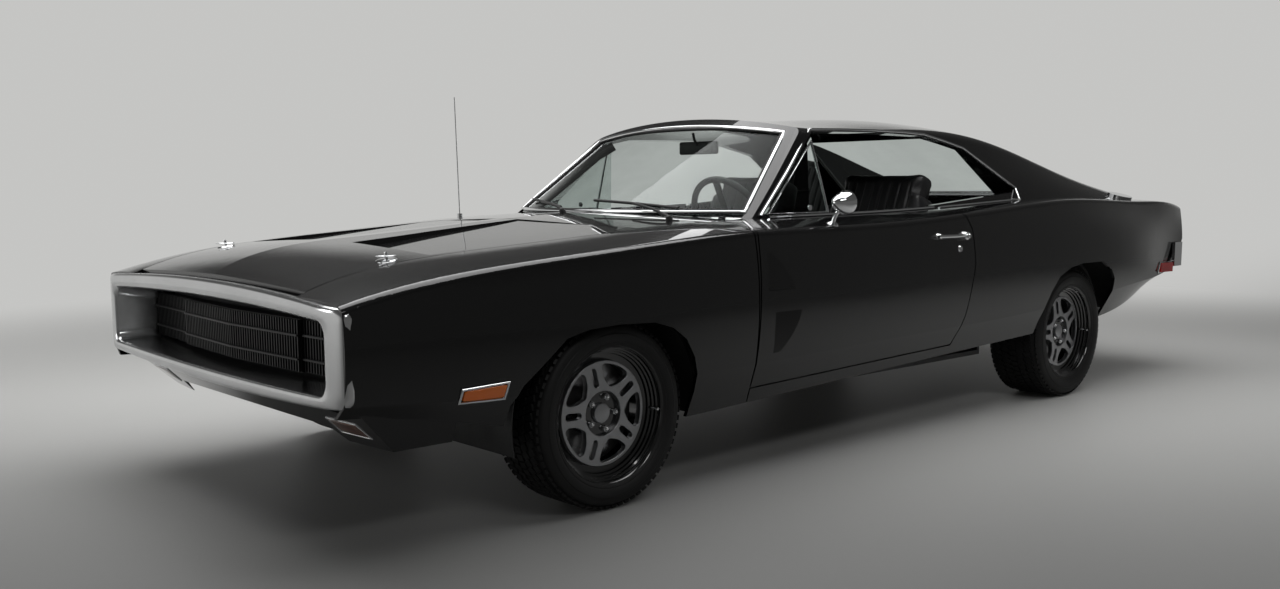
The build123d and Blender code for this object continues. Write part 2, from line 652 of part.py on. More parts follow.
def wheel_set(wheel):
    """Tyre, rim and brake disc of one wheel, left side."""
    centre = (wheel.x, 0, wheel.radius)
    plane = Plane(origin=centre, x_dir=(1, 0, 0), z_dir=(0, 0, 1))
    axle = Axis(centre, (0, 1, 0))
    out = wheel.outer_y
    back = out - wheel.width
    r = wheel.radius
    with BuildPart() as tyre:
        with BuildSketch(plane):
            with BuildLine():
                Polyline((bore, out - 20), (bore + 12, out - 17), (bore + 12, out - 10))
                ThreePointArc((bore + 12, out - 10), (r - 48, out), (r - 14, out - 10))
                Polyline((r - 14, out - 10), (r, out - 34), (r, back + 34), (r - 14, back + 10))
                ThreePointArc((r - 14, back + 10), (r - 48, back), (bore + 12, back + 10))
                Polyline((bore + 12, back + 10), (bore + 12, back + 17), (bore, back + 20),
                         (bore, out - 20))
            make_face()
        revolve(axis=axle)
    with BuildPart() as rim:
        with BuildSketch(plane):
            with BuildLine():
                Polyline((bore + 12, out - 12), (bore + 12, out - 17), (bore, out - 20),
                         (bore, back + 20), (bore + 12, back + 17), (bore + 12, back + 12),
                         (bore - 8, back + 16), (bore - 10, out - 100), (bore - 30, out - 96),
                         (bore - 32, out - 70), (bore - 8, out - 62), (bore - 6, out - 16),
                         close=True)
            make_face()
        revolve(axis=axle)
        face = Plane(origin=(wheel.x, out - face_depth, wheel.radius), x_dir=(1, 0, 0),
                     z_dir=(0, -1, 0))
        with BuildSketch(face):
            Circle(bore - 26)
            Circle(ring_radius, mode=Mode.SUBTRACT)
            Circle(hub_radius)
            for turn in range(5):
                with BuildLine(Plane.XY.rotated((0, 0, spoke_angle + 72 * turn))):
                    Polyline((50, -27), (120, -31), (178, -44), (178, 44), (120, 31), (50, 27),
                             close=True)
                make_face()
            with PolarLocations(122, 5, start_angle=spoke_angle):
                SlotOverall(72, 22, mode=Mode.SUBTRACT)
        extrude(amount=24)
        with BuildSketch(face.offset(16)):
            Circle(hub_radius - 4)
        extrude(amount=34)
        with BuildSketch(face):
            Circle(pocket_radius)
            Circle(cap_radius, mode=Mode.SUBTRACT)
        extrude(amount=16, mode=Mode.SUBTRACT)
    with BuildPart() as disc:
        with BuildSketch(Plane(origin=(wheel.x, out - 116, wheel.radius), x_dir=(1, 0, 0),
                               z_dir=(0, -1, 0))):
            Circle(165)
        extrude(amount=24)
    return tyre, rim, disc


for wheel in (front_wheel, rear_wheel):
    tyre, rim, disc = wheel_set(wheel)
    save_turned_pair(tyre, f"tyre_{wheel.name}", wheel.x)
    save_turned_pair(rim, f"rim_{wheel.name}", wheel.x)
    save_turned_pair(disc, f"brake_disc_{wheel.name}", wheel.x)

# Steering knuckles with their calipers
with BuildPart() as knuckle:
    add(rod((front_axle_x, front_wheel.outer_y - 142, 308), (front_axle_x, 700, 308), 42))
    add(rod((front_axle_x, kingpin_y, 262), (front_axle_x, kingpin_y, 452), 22))
    add(cuboid((front_axle_x - 60, front_axle_x - 20), (690, 710), (300, 330)))
    with BuildSketch(Plane(origin=(front_axle_x, 748, 308), x_dir=(1, 0, 0), z_dir=(0, -1, 0))):
        Circle(160)
        Circle(95, mode=Mode.SUBTRACT)
        Rectangle(400, 170, align=(Align.MIN, Align.CENTER), mode=Mode.INTERSECT)
    extrude(amount=36)
    add(cuboid((front_axle_x + 20, front_axle_x + 120), (712, 736), (290, 330)))
save_pair(knuckle, "knuckle")

# Dashboard with the steering column
column_top = (640, 370, 868)
column_foot = (1090, 370, 640)
with BuildPart() as dashboard:
    dash = [(1040, 850), (860, 857), (760, 850), (740, 760), (800, 700), (860, 640), (1000, 640),
            (1040, 700)]
    add(side_prism(dash, -690, 690))
    add(rod(column_foot, column_top, 28))
    add(cuboid((-100, 780), (-110, 110), (501, 560)))
    add(cuboid((760, 860), (-110, 110), (540, 700)))
save(dashboard, "dashboard")
axis_dir = (Vector(*column_top) - Vector(*column_foot)).normalized()
wheel_mid = Vector(*column_top) + axis_dir * 60
with BuildPart() as steering_wheel:
    with BuildSketch(Plane(origin=wheel_mid, x_dir=(0, 1, 0), z_dir=axis_dir)):
        Circle(42)
        for angle in (0, 180, 270):
            with Locations(Rot(Z=angle) * Pos(105, 0)):
                Rectangle(160, 34)
    extrude(amount=-6)
    with BuildSketch(Plane(origin=wheel_mid, x_dir=(0, 1, 0), z_dir=axis_dir)):
        Circle(36)
    extrude(amount=-46)
    with Locations(Plane(origin=wheel_mid, x_dir=(0, 1, 0), z_dir=axis_dir)):
        Torus(188, 13)
save(steering_wheel, "steering_wheel")

# Seats, plain cushions
bucket = [(240, 300), (240, 500), (200, 520), (-190, 500), (-390, 1080), (-450, 1110),
          (-490, 1080), (-380, 470), (-350, 300)]
with BuildPart() as front_seats:
    for y in (-400, 400):
        with BuildSketch(Plane.XZ.offset(-(y - 250))):
            with BuildLine():
                Polyline(*bucket, close=True)
            make_face()
        extrude(amount=-500)
save(front_seats, "front_seats")
with BuildPart() as rear_seat:
    for side in (1, -1):
        add(cuboid((-990, -670), sorted((side * 150, side * 540)), (421, 560), radius=25))
    add(cuboid((-990, -700), (-160, 160), (501, 560), radius=20))
    bench = [(-1000, 561), (-1120, 900), (-1190, 910), (-1225, 491), (-1000, 491)]
    add(side_prism(bench, -540, 540))
save(rear_seat, "rear_seat")
with BuildPart() as interior_trim:
    add(cuboid((-1285, -1235), (-545, 545), (491, 880)))
    for side in (1, -1):
        add(cuboid((-1290, -320), sorted((side * 700, side * 724)), (700, 894)))
        add(cuboid((-900, -320), sorted((side * 700, side * 724)), (421, 700)))
save(interior_trim, "interior_trim")

# Vent windows in their bright frames, standing on the doors
with BuildPart() as vent_window:
    frame = [(790, 918), (392, 1237), (380, 1237), (386, 918)]
    with BuildSketch(Plane.XZ.offset(-600)):
        with BuildLine():
            Polyline(*frame, close=True)
        make_face()
        offset(amount=-7, kind=Kind.INTERSECTION)
    extrude(amount=-200)
    with BuildPart(mode=Mode.PRIVATE) as pane_space:
        add(upper_body(inset=8))
        add(upper_body(inset=18), mode=Mode.SUBTRACT)
    add(pane_space.part, mode=Mode.INTERSECT)
save_pair(vent_window, "vent_window")

# Mirrors, antenna, wipers and fuel cap
with BuildPart() as mirror_piece:
    add(rod((545, 868, 878), (532, 905, 960), 9))
    add(rod((556, 912, 972), (500, 912, 972), 46))
    add(body_solid, mode=Mode.SUBTRACT)
save_pair(mirror_piece, "mirror")
with BuildPart() as antenna:
    add(rod((1147, -770, 888), (1147, -770, 920), 12))
    add(rod((1147, -770, 910), (1162, -770, 1434), 2.5))
    add(body_solid, mode=Mode.SUBTRACT)
save(antenna, "antenna")
with BuildPart() as wipers:
    for y in (-150, 480):
        add(rod((1130, y, 948), (1110, y - 380, 956), 7))
save(wipers, "wipers")
with BuildPart() as fuel_cap:
    add(rod((-2030, 762, 955), (-2030, 770, 985), 62))
    add(body_solid, mode=Mode.SUBTRACT)
    add(roof_solid, mode=Mode.SUBTRACT)
save(fuel_cap, "fuel_cap")
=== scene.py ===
# %% [markdown]
# # Dressing a black fastback coupe
# The car arrives here as a measured frame of CAD pieces that already stand in the right
# places. This lesson lights it, paints it and adds what is too fine for the CAD: bright
# mouldings, tread, lamp bezels, padded seats, wipers and small fasteners.

# %% Load the frame
import json
import math
from collections import namedtuple

import bmesh
import bpy
from mathutils import Matrix, Vector


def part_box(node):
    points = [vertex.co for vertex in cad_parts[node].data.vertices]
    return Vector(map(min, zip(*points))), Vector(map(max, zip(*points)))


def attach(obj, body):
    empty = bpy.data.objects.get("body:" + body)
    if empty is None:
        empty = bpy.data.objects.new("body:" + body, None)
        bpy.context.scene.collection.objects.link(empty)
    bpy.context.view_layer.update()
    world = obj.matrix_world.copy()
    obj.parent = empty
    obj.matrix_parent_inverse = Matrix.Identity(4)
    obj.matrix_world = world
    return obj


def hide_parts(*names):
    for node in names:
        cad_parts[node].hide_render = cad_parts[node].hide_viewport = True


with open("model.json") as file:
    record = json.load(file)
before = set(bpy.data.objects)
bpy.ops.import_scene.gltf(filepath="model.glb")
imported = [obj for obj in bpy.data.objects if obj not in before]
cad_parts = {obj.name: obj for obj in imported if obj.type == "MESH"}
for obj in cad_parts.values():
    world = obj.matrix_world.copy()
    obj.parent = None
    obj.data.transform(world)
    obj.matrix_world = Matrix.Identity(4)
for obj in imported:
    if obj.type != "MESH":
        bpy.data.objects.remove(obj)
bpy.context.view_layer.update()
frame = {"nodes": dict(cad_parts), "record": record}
nodes = frame["nodes"]
scene = bpy.context.scene
sides = {"left": 1, "right": -1}
print("CAD nodes:", len(nodes))

# %% [markdown]
# ## Camera
# The picture was taken low and close to the left front corner, which is why the near wheel
# looks so much larger than the far one. Its place, direction and focal length were found by
# fitting known points of the car. A small upward shift keeps the horizon where it is.

# %% Camera
photo_width = 1280
focal_px = 1148.75
shift_px = 29.8
camera_at = Vector((4.0432, 3.6214, 1.0305))
yaw, pitch, roll = -2.3085, -0.1181, -0.004


def show(name, data):
    """An object with this data, linked into the scene."""
    made = bpy.data.objects.new(name, data)
    scene.collection.objects.link(made)
    return made


def aimed(at, toward):
    """The place and turn of a camera or lamp that looks along a direction."""
    return Matrix.Translation(at) @ toward.to_track_quat("-Z", "Y").to_matrix().to_4x4()


camera_data = bpy.data.cameras.new("camera")
camera_data.sensor_width = 36
camera_data.lens = focal_px * camera_data.sensor_width / photo_width
camera_data.shift_y = shift_px / photo_width
camera = show("camera", camera_data)
look = Vector((math.cos(yaw) * math.cos(pitch), math.sin(yaw) * math.cos(pitch), math.sin(pitch)))
camera.matrix_world = aimed(camera_at, look) @ Matrix.Rotation(roll, 4, "Z")
scene.camera = camera
scene.view_settings.view_transform = "Standard"
print("lens", round(camera_data.lens, 2))

# %% [markdown]
# ## Studio
# Black paint shows nothing but reflections, so the room is shapes first and brightness second.
# The wall behind the car is pale and the one behind the camera is dim, which keeps the near
# side black and lets the hood and roof pick up the pale wall. One large soft box overhead
# gives the soft shadow under the car and the light on the bright loop.

# %% Studio lights
def soft_box(name, at, aim, size, watts):
    """A rectangular area light that points from one place to another."""
    data = bpy.data.lights.new(name, "AREA")
    data.shape = "RECTANGLE"
    data.size, data.size_y = size
    data.energy = watts
    lamp = show(name, data)
    lamp.matrix_world = aimed(Vector(at), Vector(aim) - Vector(at))
    lamp.visible_camera = False


soft_box("overhead_box", (0.6, -0.4, 5.0), (0.3, 0, 0), (4.5, 8.0), 400)
soft_box("shoulder_strip", (-2.7, -2.6, 3.75), (0.6, 0.9, 0.9), (0.35, 5.4), 14)
soft_box("high_left_box", (2.5, 7.5, 6.5), (0.8, 0.9, 0.4), (4.0, 1.2), 90)
soft_box("nose_box", (6.5, -2.6, 2.4), (2.6, 0, 0.6), (2.4, 1.6), 40)
print("lamps:", len(bpy.data.lights))


# %% Floor and room
def link(tree, start, end):
    tree.links.new(start, end)


def span(tree, value, low, high, out_low=0.0, out_high=1.0):
    """A Map Range node with a smooth step between two values."""
    made = tree.nodes.new("ShaderNodeMapRange")
    made.interpolation_type = "SMOOTHSTEP"
    for key, number in (("From Min", low), ("From Max", high), ("To Min", out_low), ("To Max", out_high)):
        made.inputs[key].default_value = number
    link(tree, value, made.inputs["Value"])
    return made.outputs[0]


def blend_colour(tree, factor, first, second):
    """A Mix node between two colours, each a tuple or another node's output."""
    made = tree.nodes.new("ShaderNodeMix")
    made.data_type = "RGBA"
    for key, value in (("A", first), ("B", second)):
        if isinstance(value, tuple):
            made.inputs[key].default_value = value
        else:
            link(tree, value, made.inputs[key])
    link(tree, factor, made.inputs["Factor"])
    return made.outputs["Result"]


def math_node(tree, operation, first, second):
    made = tree.nodes.new("ShaderNodeMath")
    made.operation = operation
    for socket, value in zip(made.inputs, (first, second)):
        if isinstance(value, (int, float)):
            socket.default_value = value
        else:
            link(tree, value, socket)
    return made.outputs[0]


def vector_math(tree, operation, vector):
    made = tree.nodes.new("ShaderNodeVectorMath")
    made.operation = operation
    link(tree, vector, made.inputs[0])
    return made


def grey(value):
    return (value, value, value * 0.98, 1)


def room_colour(tree, ways):
    """The wall's grey by direction: pale behind the car, dim on the near side."""
    across = tree.nodes.new("ShaderNodeSeparateXYZ")
    link(tree, ways, across.inputs[0])
    wall = blend_colour(tree, span(tree, across.outputs["Y"], -0.25, 0.45), far_wall, near_wall)
    return wall, across.outputs["Z"]


far_wall, near_wall, ceiling = grey(0.56), grey(0.12), grey(0.08)
world = bpy.data.worlds.new("studio_room")
world.use_nodes = True
scene.world = world
tree = world.node_tree
wall, height = room_colour(tree, tree.nodes.new("ShaderNodeTexCoord").outputs["Generated"])
room = blend_colour(tree, span(tree, height, 0.19, 0.33), wall, ceiling)
link(tree, room, tree.nodes["Background"].inputs["Color"])
tree.nodes["Background"].inputs["Strength"].default_value = 1.0

floor_mesh = bpy.data.meshes.new("floor")
bm = bmesh.new()
bmesh.ops.create_circle(bm, cap_ends=True, segments=96, radius=70)
bm.to_mesh(floor_mesh)
bm.free()
floor = show("floor", floor_mesh)
print("floor radius:", round(floor.dimensions.x / 2, 1))

# %% [markdown]
# Near the car the floor takes the shadow, and its colour carries a painted shade: pale behind the
# car and darker toward the front left, standing in for light that falls off. Further out it turns
# into the same grey as the wall behind it, so that no horizon line shows, as in a coved studio.

# %% Floor paint
floor_paint = bpy.data.materials.new("pale_floor_painted_shade")
floor_paint.use_nodes = True
tree = floor_paint.node_tree
place = tree.nodes.new("ShaderNodeTexCoord").outputs["Object"]
# Painted shade: the floor's colour goes from pale behind the car to dim toward the front left.
shade_toward_front_left = vector_math(tree, "DOT_PRODUCT", place)
shade_toward_front_left.inputs[1].default_value = (0.67, 0.74, 0)
shade = blend_colour(tree, span(tree, shade_toward_front_left.outputs["Value"], -0.6, 3.0),
                     grey(0.50), grey(0.15))
painted = tree.nodes["Principled BSDF"]
link(tree, shade, painted.inputs["Base Color"])
painted.inputs["Roughness"].default_value = 0.5
cove, _ = room_colour(tree, vector_math(tree, "NORMALIZE", place).outputs[0])
glow = tree.nodes.new("ShaderNodeEmission")
link(tree, cove, glow.inputs["Color"])
reach = vector_math(tree, "LENGTH", place)
rays = tree.nodes.new("ShaderNodeLightPath")
seen = math_node(tree, "MAXIMUM", rays.outputs["Is Camera Ray"],
                 math_node(tree, "MAXIMUM", rays.outputs["Is Glossy Ray"],
                           rays.outputs["Is Transmission Ray"]))
far_off = math_node(tree, "MULTIPLY", span(tree, reach.outputs["Value"], 3.4, 8.0), seen)
both = tree.nodes.new("ShaderNodeMixShader")
link(tree, far_off, both.inputs[0])
link(tree, painted.outputs[0], both.inputs[1])
link(tree, glow.outputs[0], both.inputs[2])
link(tree, both.outputs[0], tree.nodes["Material Output"].inputs["Surface"])
floor.data.materials.append(floor_paint)
print("floor nodes:", len(tree.nodes))

# %% [markdown]
# ## Finishes
# Shared effects live in two node groups. One makes a fine grain for a bump, the other a thin
# uneven film, such as dust or polish haze, that changes roughness more than colour.

# %% Shared effects
def group(name, inputs, outputs):
    """A new shader node group with its sockets, and its input and output nodes."""
    tree = bpy.data.node_groups.new(name, "ShaderNodeTree")
    for label, kind, value in inputs:
        socket = tree.interface.new_socket(label, in_out="INPUT", socket_type=kind)
        if value is not None:
            socket.default_value = value
    for label, kind in outputs:
        tree.interface.new_socket(label, in_out="OUTPUT", socket_type=kind)
    return tree, tree.nodes.new("NodeGroupInput"), tree.nodes.new("NodeGroupOutput")


def node(tree, kind, **values):
    """A node with some of its input sockets set by name."""
    made = tree.nodes.new(kind)
    for key, value in values.items():
        made.inputs[key.replace("_", " ")].default_value = value
    return made


grain, enters, leaves = group("fine_grain",
                              [("Vector", "NodeSocketVector", None), ("Scale", "NodeSocketFloat", 200),
                               ("Coarse", "NodeSocketFloat", 30)],
                              [("Height", "NodeSocketFloat")])
fine = node(grain, "ShaderNodeTexNoise", Detail=3, Roughness=0.6)
broad = node(grain, "ShaderNodeTexNoise", Detail=2)
both = grain.nodes.new("ShaderNodeMath")
both.operation = "MULTIPLY_ADD"
both.inputs[1].default_value = 0.4
link(grain, enters.outputs["Vector"], fine.inputs["Vector"])
link(grain, enters.outputs["Vector"], broad.inputs["Vector"])
link(grain, enters.outputs["Scale"], fine.inputs["Scale"])
link(grain, enters.outputs["Coarse"], broad.inputs["Scale"])
link(grain, broad.outputs["Fac"], both.inputs[0])
link(grain, fine.outputs["Fac"], both.inputs[2])
link(grain, both.outputs[0], leaves.inputs["Height"])

film, enters, leaves = group("uneven_film",
                             [("Vector", "NodeSocketVector", None), ("Clean", "NodeSocketFloat", 0.1),
                              ("Dull", "NodeSocketFloat", 0.3), ("Scale", "NodeSocketFloat", 3)],
                             [("Roughness", "NodeSocketFloat"), ("Mask", "NodeSocketFloat")])
clouds = node(film, "ShaderNodeTexNoise", Detail=6, Roughness=0.62)
spread = film.nodes.new("ShaderNodeMapRange")
spread.inputs["From Min"].default_value = 0.35
spread.inputs["From Max"].default_value = 0.75
link(film, enters.outputs["Vector"], clouds.inputs["Vector"])
link(film, enters.outputs["Scale"], clouds.inputs["Scale"])
link(film, clouds.outputs["Fac"], spread.inputs["Value"])
link(film, enters.outputs["Clean"], spread.inputs["To Min"])
link(film, enters.outputs["Dull"], spread.inputs["To Max"])
link(film, spread.outputs[0], leaves.inputs["Roughness"])
link(film, clouds.outputs["Fac"], leaves.inputs["Mask"])
print("shared groups:", len(bpy.data.node_groups))


# %% A finish from its values
def place_group(tree, shared, vector, **values):
    made = tree.nodes.new("ShaderNodeGroup")
    made.node_tree = shared
    for key, value in values.items():
        made.inputs[key].default_value = value
    link(tree, vector, made.inputs["Vector"])
    return made


def finish(name, colour, clean, dull, grain_scale=0, grain_depth=0.0, haze=3.0, tint=None, **sockets):
    """A material: its colour, its roughness from clean to dull, and the grain of its surface."""
    made = bpy.data.materials.new(name)
    made.use_nodes = True
    tree = made.node_tree
    shader = tree.nodes["Principled BSDF"]
    for key, value in sockets.items():
        shader.inputs[key.replace("_", " ")].default_value = value
    place = tree.nodes.new("ShaderNodeTexCoord").outputs["Object"]
    haze_node = place_group(tree, film, place, Clean=clean, Dull=dull, Scale=haze)
    link(tree, haze_node.outputs["Roughness"], shader.inputs["Roughness"])
    shade = tint or tuple(c * 0.72 for c in colour)
    base = blend_colour(tree, haze_node.outputs["Mask"], (*colour, 1), (*shade, 1))
    link(tree, base, shader.inputs["Base Color"])
    if grain_scale:
        texture = place_group(tree, grain, place, Scale=grain_scale, Coarse=grain_scale / 7)
        bump = node(tree, "ShaderNodeBump", Strength=1.0, Distance=grain_depth)
        link(tree, texture.outputs["Height"], bump.inputs["Height"])
        link(tree, bump.outputs["Normal"], shader.inputs["Normal"])
    return made


paint = finish("gloss_black_paint", (0.0024, 0.0024, 0.0026), 0.30, 0.36, 900, 0.000004,
               Specular_IOR_Level=0.05, Coat_Weight=1.0, Coat_Roughness=0.012, Coat_IOR=1.5)
chrome = finish("bright_chrome", (0.86, 0.87, 0.88), 0.03, 0.10, Metallic=1.0)
satin_chrome = finish("satin_chrome", (0.74, 0.745, 0.75), 0.17, 0.25, 600, 0.00001, Metallic=1.0)
satin_black = finish("satin_black", (0.006, 0.006, 0.0065), 0.34, 0.5, 500, 0.00003,
                     Specular_IOR_Level=0.35)
chassis_black = finish("black_chassis", (0.018, 0.018, 0.018), 0.5, 0.75, 160, 0.0002)
cast_metal = finish("engine_metal", (0.20, 0.20, 0.205), 0.45, 0.7, 260, 0.0003, Metallic=0.8)
trim_plastic = finish("black_trim", (0.016, 0.016, 0.017), 0.42, 0.6, 700, 0.00012)
vinyl = finish("black_vinyl", (0.014, 0.014, 0.015), 0.36, 0.52, 420, 0.00022)
rubber = finish("tyre_rubber", (0.010, 0.010, 0.010), 0.52, 0.72, 500, 0.00010,
                Specular_IOR_Level=0.3)
soft_rubber = finish("wiper_rubber", (0.01, 0.01, 0.01), 0.5, 0.6, 400, 0.00005)
gunmetal = finish("dark_rim", (0.42, 0.424, 0.435), 0.30, 0.40, 700, 0.00002, Metallic=1.0)
barrel_black = finish("barrel_black", (0.004, 0.004, 0.004), 0.08, 0.16, Coat_Weight=0.8)
disc_steel = finish("disc_steel", (0.45, 0.45, 0.45), 0.25, 0.4, 300, 0.00008, Metallic=1.0)
amber = finish("amber_lens", (0.80, 0.17, 0.012), 0.06, 0.12, Coat_Weight=0.6)
smoked_amber = finish("smoked_amber", (0.16, 0.055, 0.022), 0.08, 0.14, tint=(0.09, 0.03, 0.02),
                      Coat_Weight=1.0)
red = finish("red_lens", (0.42, 0.008, 0.008), 0.06, 0.12, Coat_Weight=0.6)
glass = finish("clear_glass", (0.80, 0.86, 0.84), 0.0, 0.02, Transmission_Weight=1.0, IOR=1.12)
print("materials:", len(bpy.data.materials))

# %% Dress the CAD pieces
skins = {"gloss_black_paint": paint, "bright_chrome": chrome, "black_grille": satin_black,
         "amber_lens": amber, "red_lens": red, "clear_glass": glass,
         "black_chassis": chassis_black, "engine_metal": cast_metal, "black_trim": trim_plastic,
         "black_vinyl": vinyl, "tyre_rubber": rubber, "dark_rim": gunmetal,
         "disc_steel": disc_steel}
for part in frame["record"]["subparts"]:
    nodes[part["node"]].material_slots[0].material = skins[part["material_slot"]]
nodes["front_bumper"].material_slots[0].material = satin_chrome
for side in sides:
    nodes[f"vent_window_{side}"].material_slots[0].material = glass
# Each pane shrinks by less than a millimetre, so that its edge shares no face with the shell.
for pane in ("windshield", "rear_window"):
    clearance = nodes[pane].modifiers.new("clearance", "DISPLACE")
    clearance.strength = -0.0008
    clearance.mid_level = 0.0

# %% [markdown]
# ## Tools for new pieces
# Every new piece is a bmesh shaped by operators, or a curve with a round section made into a
# mesh. A ray cast onto a CAD node finds the skin that a moulding has to lie on. A piece's slot
# holds its material.


def piece_from(mesh, name, body, material, angle=32):
    """Links a finished mesh as a piece that moves with a body."""
    mesh.materials.append(material)
    mesh.shade_smooth()
    mesh.set_sharp_from_angle(angle=math.radians(angle))
    made = show(name, mesh)
    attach(made, body)
    return made


def piece(bm, name, body, material, angle=32):
    """Turns a bmesh into a piece, with its normals facing out."""
    bmesh.ops.remove_doubles(bm, verts=bm.verts, dist=0.00001)
    bmesh.ops.recalc_face_normals(bm, faces=bm.faces)
    mesh = bpy.data.meshes.new(name)
    bm.to_mesh(mesh)
    bm.free()
    return piece_from(mesh, name, body, material, angle)


def mesh_of(curve):
    """The mesh of a curve, made through an object that is then removed."""
    holder = bpy.data.objects.new(curve.name, curve)
    mesh = bpy.data.meshes.new_from_object(holder)
    bpy.data.objects.remove(holder)
    return mesh


def strip(name, points, width, body, material=chrome, closed=False, smooth=False):
    """A round moulding through points, with mitred corners or as a smooth curve."""
    curve = bpy.data.curves.new(name, "CURVE")
    curve.dimensions = "3D"
    curve.bevel_depth = width / 2
    curve.bevel_resolution = 3
    curve.use_fill_caps = True
    line = curve.splines.new("NURBS" if smooth else "POLY")
    line.points.add(len(points) - 1)
    for point, at in zip(line.points, points):
        point.co = (*at, 1)
    line.use_cyclic_u = closed
    if smooth:
        line.order_u = 3
        line.use_endpoint_u = not closed
        line.resolution_u = 6
    mesh = mesh_of(curve)
    mesh.name = name
    return piece_from(mesh, name, body, material, angle=50)


def turned(name, rings, at, direction, body, material=chrome, segments=32, angle=32):
    """A turned piece with its axis along a direction, from rings of (radius, distance)."""
    bm = bmesh.new()
    verts = [bm.verts.new((radius, along, 0)) for radius, along in rings]
    edges = [bm.edges.new(pair) for pair in zip(verts, verts[1:])]
    bmesh.ops.spin(bm, geom=verts + edges, cent=(0, 0, 0), axis=(0, 1, 0), angle=math.tau,
                   steps=segments, use_merge=True)
    aim = Vector(direction).to_track_quat("Y", "Z").to_matrix().to_4x4()
    bmesh.ops.transform(bm, matrix=Matrix.Translation(at) @ aim, verts=bm.verts)
    return piece(bm, name, body, material, angle)


def rounded_box(size, rounding, segments=3):
    """A bmesh box round the origin with rounded edges."""
    bm = bmesh.new()
    bmesh.ops.create_cube(bm, size=1.0)
    bmesh.ops.scale(bm, vec=size, verts=bm.verts)
    bmesh.ops.bevel(bm, geom=bm.edges[:], offset=rounding, offset_type="OFFSET", segments=segments,
                    profile=0.5, affect="EDGES", material=-1)
    return bm


def box_piece(name, low, high, rounding, material, segments=4):
    """A rounded box between two corners, on the car's body."""
    low, high = Vector(low), Vector(high)
    bm = rounded_box(high - low, rounding, segments)
    bmesh.ops.translate(bm, vec=(low + high) / 2, verts=bm.verts)
    return piece(bm, name, "body", material)


def on_skin(node_name, start, direction):
    """Where a ray first meets a CAD node, and the skin's normal there."""
    hit, at, normal, _ = nodes[node_name].ray_cast(Vector(start), Vector(direction))
    if not hit:
        raise ValueError(f"no skin of {node_name} from {tuple(start)}")
    return at, normal


def on_side(node_name, x, z, sign):
    """The skin met by a ray from outside the car's left (1) or right (-1)."""
    return on_skin(node_name, (x, sign * outside_y, z), (0, -sign, 0))[0]


def on_screen(y, z):
    """The windscreen's skin met by a ray from the front."""
    return on_skin("windshield", (ahead_x, y, z), (-1, 0, 0))[0]


def on_top(node_name, x, y):
    """The skin met by a ray from above."""
    return on_skin(node_name, (x, y, above_z), (0, 0, -1))[0]


outside_y, ahead_x, above_z = 1.2, 2.5, 1.3

# %% [markdown]
# ## Bright loop and its lamps
# The loop is a pressed bright frame with a rounded front lip, and its opening flares forward.
# Rings of points that step from the back of the lip over its round front and into the opening
# are bridged one to the next, which gives the highlights a soft section to run along.

# %% Front loop
LoopRing = namedtuple("LoopRing", "half corner top_mid top_end low_end low_mid")
outer_ring = LoopRing(0.906, 0.034, 0.750, 0.722, 0.447, 0.416)
inner_ring = LoopRing(0.820, 0.040, 0.692, 0.678, 0.478, 0.462)
back_ring = LoopRing(0.803, 0.042, 0.666, 0.651, 0.485, 0.472)


def nose_face_x(y):
    """The front of the loop in plan: slightly hollow, turning back at both ends."""
    bend = 0.822
    if abs(y) < bend:
        return 2.626 + 0.0155 * (y / bend) ** 2
    return 2.6415 - 0.0205 * (abs(y) - bend) / (0.906 - bend)


def mixed(first, second, share):
    """A ring a share of the way from one to another."""
    return LoopRing(*(a + (b - a) * share for a, b in zip(first, second)))


def quarter(centre_y, centre_z, radius, start):
    """A quarter circle in eight steps, clockwise from its start in degrees."""
    return [(centre_y + radius * math.cos(math.radians(start - 11.25 * i)),
             centre_z + radius * math.sin(math.radians(start - 11.25 * i))) for i in range(9)]


def ring_outline(ring):
    """The frame's outline in front view, clockwise from the top left."""
    flat = ring.half - ring.corner
    steps = [i / 24 - 1 for i in range(1, 48)]
    top = [(flat * t, ring.top_mid - (ring.top_mid - ring.top_end) * t * t) for t in steps]
    low = [(-flat * t, ring.low_mid - (ring.low_mid - ring.low_end) * t * t) for t in steps]
    high_z, low_z = ring.top_end - ring.corner, ring.low_end + ring.corner
    return (top + quarter(flat, high_z, ring.corner, 90) + quarter(flat, low_z, ring.corner, 0)
            + low + quarter(-flat, low_z, ring.corner, -90) + quarter(-flat, high_z, ring.corner, 180))


def bridge_rings(bm, rings):
    """Joins closed rings of points one to the next, and the last back to the first."""
    edge_rings = []
    for ring in rings:
        verts = [bm.verts.new(point) for point in ring]
        edge_rings.append([bm.edges.new(pair) for pair in zip(verts, verts[1:] + verts[:1])])
    for near, far in zip(edge_rings, edge_rings[1:] + edge_rings[:1]):
        bmesh.ops.bridge_loops(bm, edges=near + far)


lip = ((0.90, 0.120), (0.90, 0.036), (0.03, 0.030), (0.00, 0.022), (0.025, 0.010), (0.09, 0.0045),
       (0.20, 0.0012), (0.36, 0.0), (0.62, 0.0), (0.80, 0.0014), (0.91, 0.0052), (0.975, 0.011),
       (1.0, 0.020))
rings = []
for share, behind in lip:
    rings.append([(nose_face_x(y) - behind, y, z)
                  for y, z in ring_outline(mixed(outer_ring, inner_ring, share))])
rings.append([(2.474, y, z) for y, z in ring_outline(back_ring)])
bm = bmesh.new()
bridge_rings(bm, rings)
loop = piece(bm, "front_loop", "body", satin_chrome, angle=60)
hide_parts("front_bumper")
print("loop faces:", len(loop.data.polygons))


# %% Turn lamps and side markers
def valance_x(y, z):
    """The leaning face of the front valance."""
    top = 2.592 - 0.026 * (y / 0.868) ** 2
    low = 2.470 - 0.046 * (y / 0.806) ** 2
    return low + (top - low) * (z - 0.294) / 0.138


def lens_block(size, rounding):
    """A rounded box with enough points to follow a curved skin."""
    bm = rounded_box(size, rounding)
    bmesh.ops.subdivide_edges(bm, edges=[e for e in bm.edges if e.calc_length() > 0.03], cuts=5,
                              use_grid_fill=True)
    return bm


